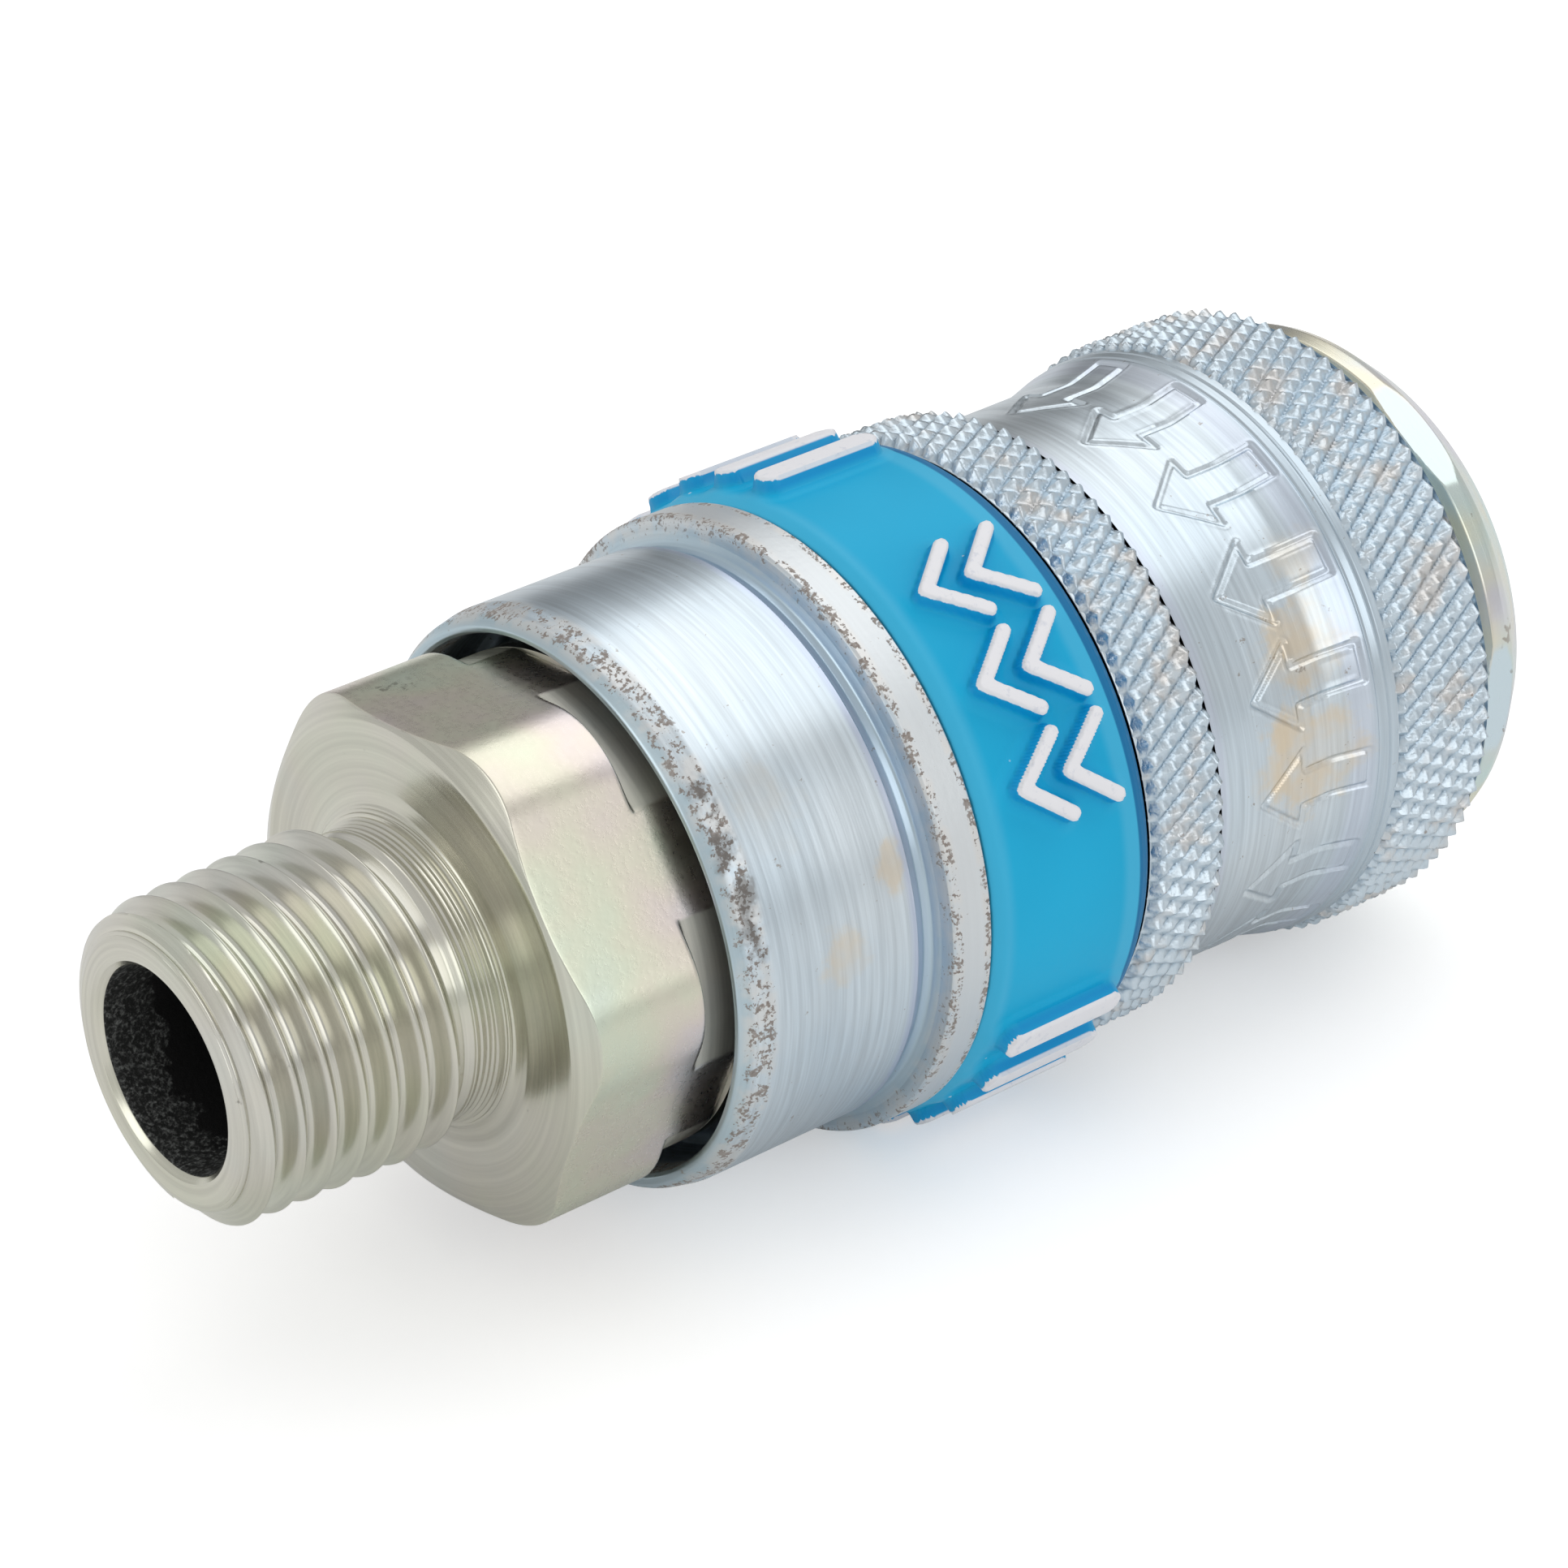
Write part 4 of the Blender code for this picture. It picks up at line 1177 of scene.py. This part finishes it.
class COUPLER_OT_seals(bpy.types.Operator):
    """Rubber rings on the spigot, round the plug and on the valve"""
    bl_idname = "coupler.seals"
    bl_label = "Seals"

    def execute(self, context):
        rubber = finish("seal_rubber")
        rings = (
            ("spigot_seal", "adaptor_o_ring", "coupler", 22.7, 5.9, 0.45),
            ("socket_seal", "plug_seal", "coupler", 44.1, 5.45, 0.72),
            ("poppet_seal", "valve_seal", "valve", 39.25, 4.95, 0.6))
        for name, node, body, station, major, minor in rings:
            a, rolls = even_rolls(28)[:, None], even_rolls(120)[None, :]
            stations = station - minor * np.cos(a) + 0 * rolls
            points = place(stations, major + minor * np.sin(a), rolls)
            attach(grid_object(name, points, [rubber]), body, "black_rubber", node)
        return {"FINISHED"}


class COUPLER_OT_valve(bpy.types.Operator):
    """Valve poppet and its perforated guide"""
    bl_idname = "coupler.valve"
    bl_label = "Valve"

    def execute(self, context):
        brass = finish("valve_brass", tuple(context.scene.coupler_colours.brass), 0.26)
        corners = [
            (25.5, 0, 0), (25.5, 0.8, 0.1), (25.8, 1.1, 0.1), (37.5, 1.1, 0.1), (37.5, 5.2, 0.1),
            (37.75, 5.5, 0.1), (38.5, 5.5, 0.05), (38.5, 4.2, 0.05), (40.0, 4.2, 0.05),
            (40.6, 3.4, 0.1), (46.55, 3.4, 0.1), (46.8, 3.2, 0.1), (46.8, 2.6, 0.08),
            (46.6, 2.4, 0.08), (42.0, 2.4, 0.1),
            (41.6, 0, 0)]
        poppet = turned("poppet", corners, [brass], 0.8, 96, wrap=False)
        ports = [(axis_point(43.6, 1.8, a), axis_point(43.6, 4.6, a)) for a in (45, 135, 225, 315)]
        attach(drill(poppet, 0.9, ports, 32), "valve", "valve_brass", "valve_poppet")
        corners = [
            (27.0, 1.35, 0.08), (27.0, 2.2, 0.1), (28.3, 2.2, 0.05), (28.3, 6.3, 0.1),
            (29.1, 6.3, 0.1),
            (29.1, 1.35, 0.08)]
        guide = turned("guide_disc", corners, [brass], 0.6, 96)
        ports = [(axis_point(26.3, 3.9, 60 * k), axis_point(31.1, 3.9, 60 * k)) for k in range(6)]
        attach(drill(guide, 0.95, ports, 32), "coupler", "valve_brass", "valve_guide")
        return {"FINISHED"}


class COUPLER_OT_stage(bpy.types.Operator):
    """Pale floor, soft lights and the camera"""
    bl_idname = "coupler.stage"
    bl_label = "Studio"

    def execute(self, context):
        scene = context.scene
        ground = CAD_BOX[0].z
        half = 3.0
        floor = bpy.data.meshes.new("floor")
        corners = [(half * x, half * y, ground) for x, y in ((-1, -1), (1, -1), (1, 1), (-1, 1))]
        floor.from_pydata(corners, [], [(0, 1, 2, 3)])
        pale = Finish("floor_pale", 0.0, 0.9)
        pale.set("Base Color", (0.93, 0.93, 0.93))
        pale.set("Specular IOR Level", 0.1)
        pale.set("Emission Color", (1.0, 1.0, 1.0))
        seen = pale.node("LightPath").outputs["Is Camera Ray"]
        pale.set("Emission Strength", pale.times(seen, 0.36))
        floor.materials.append(pale.material)
        floor_object = bpy.data.objects.new("floor", floor)
        scene.collection.objects.link(floor_object)

        world = bpy.data.worlds.new("studio")
        world.use_nodes = True
        sky = Shading(world.node_tree)
        background = world.node_tree.nodes["Background"]
        background.inputs[1].default_value = 1.0
        direction = sky.node("TexCoord").outputs["Generated"]
        toward = sky.node("VectorMath", {0: direction, 1: DARK_SIDE}, operation="DOT_PRODUCT")
        level = sky.between(toward.outputs["Value"], 0.87, 0.995, 0.65, 0.24)
        sky.put(background.inputs[0], sky.grey(level))
        scene.world = world
        lights = (
            ("overhead", (0.32, 0.08, 0.52), (0.02, 0.0, 0.0), 0.7, 0.5, 0.88),
            ("camera_side", (0.10, -0.75, 0.42), (0.0, 0.0, 0.0), 0.7, 0.5, 0.95),
            ("thread_side", (-0.75, 0.05, 0.42), (0.0, 0.0, 0.0), 0.5, 0.5, 1.1))
        for name, position, aim, width, depth, radiance in lights:
            lamp = bpy.data.lights.new(name, "AREA")
            lamp.shape = "RECTANGLE"
            lamp.size, lamp.size_y = width, depth
            lamp.energy = radiance * math.pi * width * depth
            lamp_object = bpy.data.objects.new(name, lamp)
            lamp_object.location = position
            away = lamp_object.location - type(lamp_object.location)(aim)
            lamp_object.rotation_euler = away.to_track_quat("Z", "Y").to_euler()
            lamp_object.visible_camera = False
            scene.collection.objects.link(lamp_object)

        lens = bpy.data.cameras.new("view")
        lens.lens, lens.sensor_width = 121.48, 36
        lens.clip_start, lens.clip_end = 0.01, 20
        camera = bpy.data.objects.new("view", lens)
        camera.location = (THREAD_END - 84.03 * MM, -139.39 * MM, AXIS_HEIGHT + 108.87 * MM)
        camera.rotation_euler = (math.radians(90 - 30.91), 0, math.radians(-39.18))
        scene.collection.objects.link(camera)
        scene.camera = camera
        scene.view_settings.view_transform = "Standard"
        return {"FINISHED"}


class COUPLER_PT_panel(bpy.types.Panel):
    """Lists the coupler's pieces and settings"""
    bl_idname = "COUPLER_PT_panel"
    bl_label = "Coupler"
    bl_space_type = "VIEW_3D"
    bl_region_type = "UI"
    bl_category = "Coupler"

    def draw(self, context):
        for group in (context.scene.coupler_sizes, context.scene.coupler_colours):
            for key in group.__annotations__:
                self.layout.prop(group, key)
        for operator in OPERATORS:
            self.layout.operator(operator.bl_idname)


OPERATORS = (
    COUPLER_OT_stage, COUPLER_OT_rear_adaptor, COUPLER_OT_body, COUPLER_OT_sleeve,
    COUPLER_OT_knurls, COUPLER_OT_band, COUPLER_OT_balls, COUPLER_OT_springs,
    COUPLER_OT_washers, COUPLER_OT_seals, COUPLER_OT_valve,
)
CLASSES = (CouplerSizes, CouplerColours, *OPERATORS, COUPLER_PT_panel)


def register():
    for cls in CLASSES:
        bpy.utils.register_class(cls)
    bpy.types.Scene.coupler_sizes = bpy.props.PointerProperty(type=CouplerSizes)
    bpy.types.Scene.coupler_colours = bpy.props.PointerProperty(type=CouplerColours)


def unregister():
    del bpy.types.Scene.coupler_colours
    del bpy.types.Scene.coupler_sizes
    for cls in reversed(CLASSES):
        bpy.utils.unregister_class(cls)


def main():
    register()
    for operator in OPERATORS:
        group, name = operator.bl_idname.split(".")
        getattr(getattr(bpy.ops, group), name)()


if __name__ == "__main__":
    main()
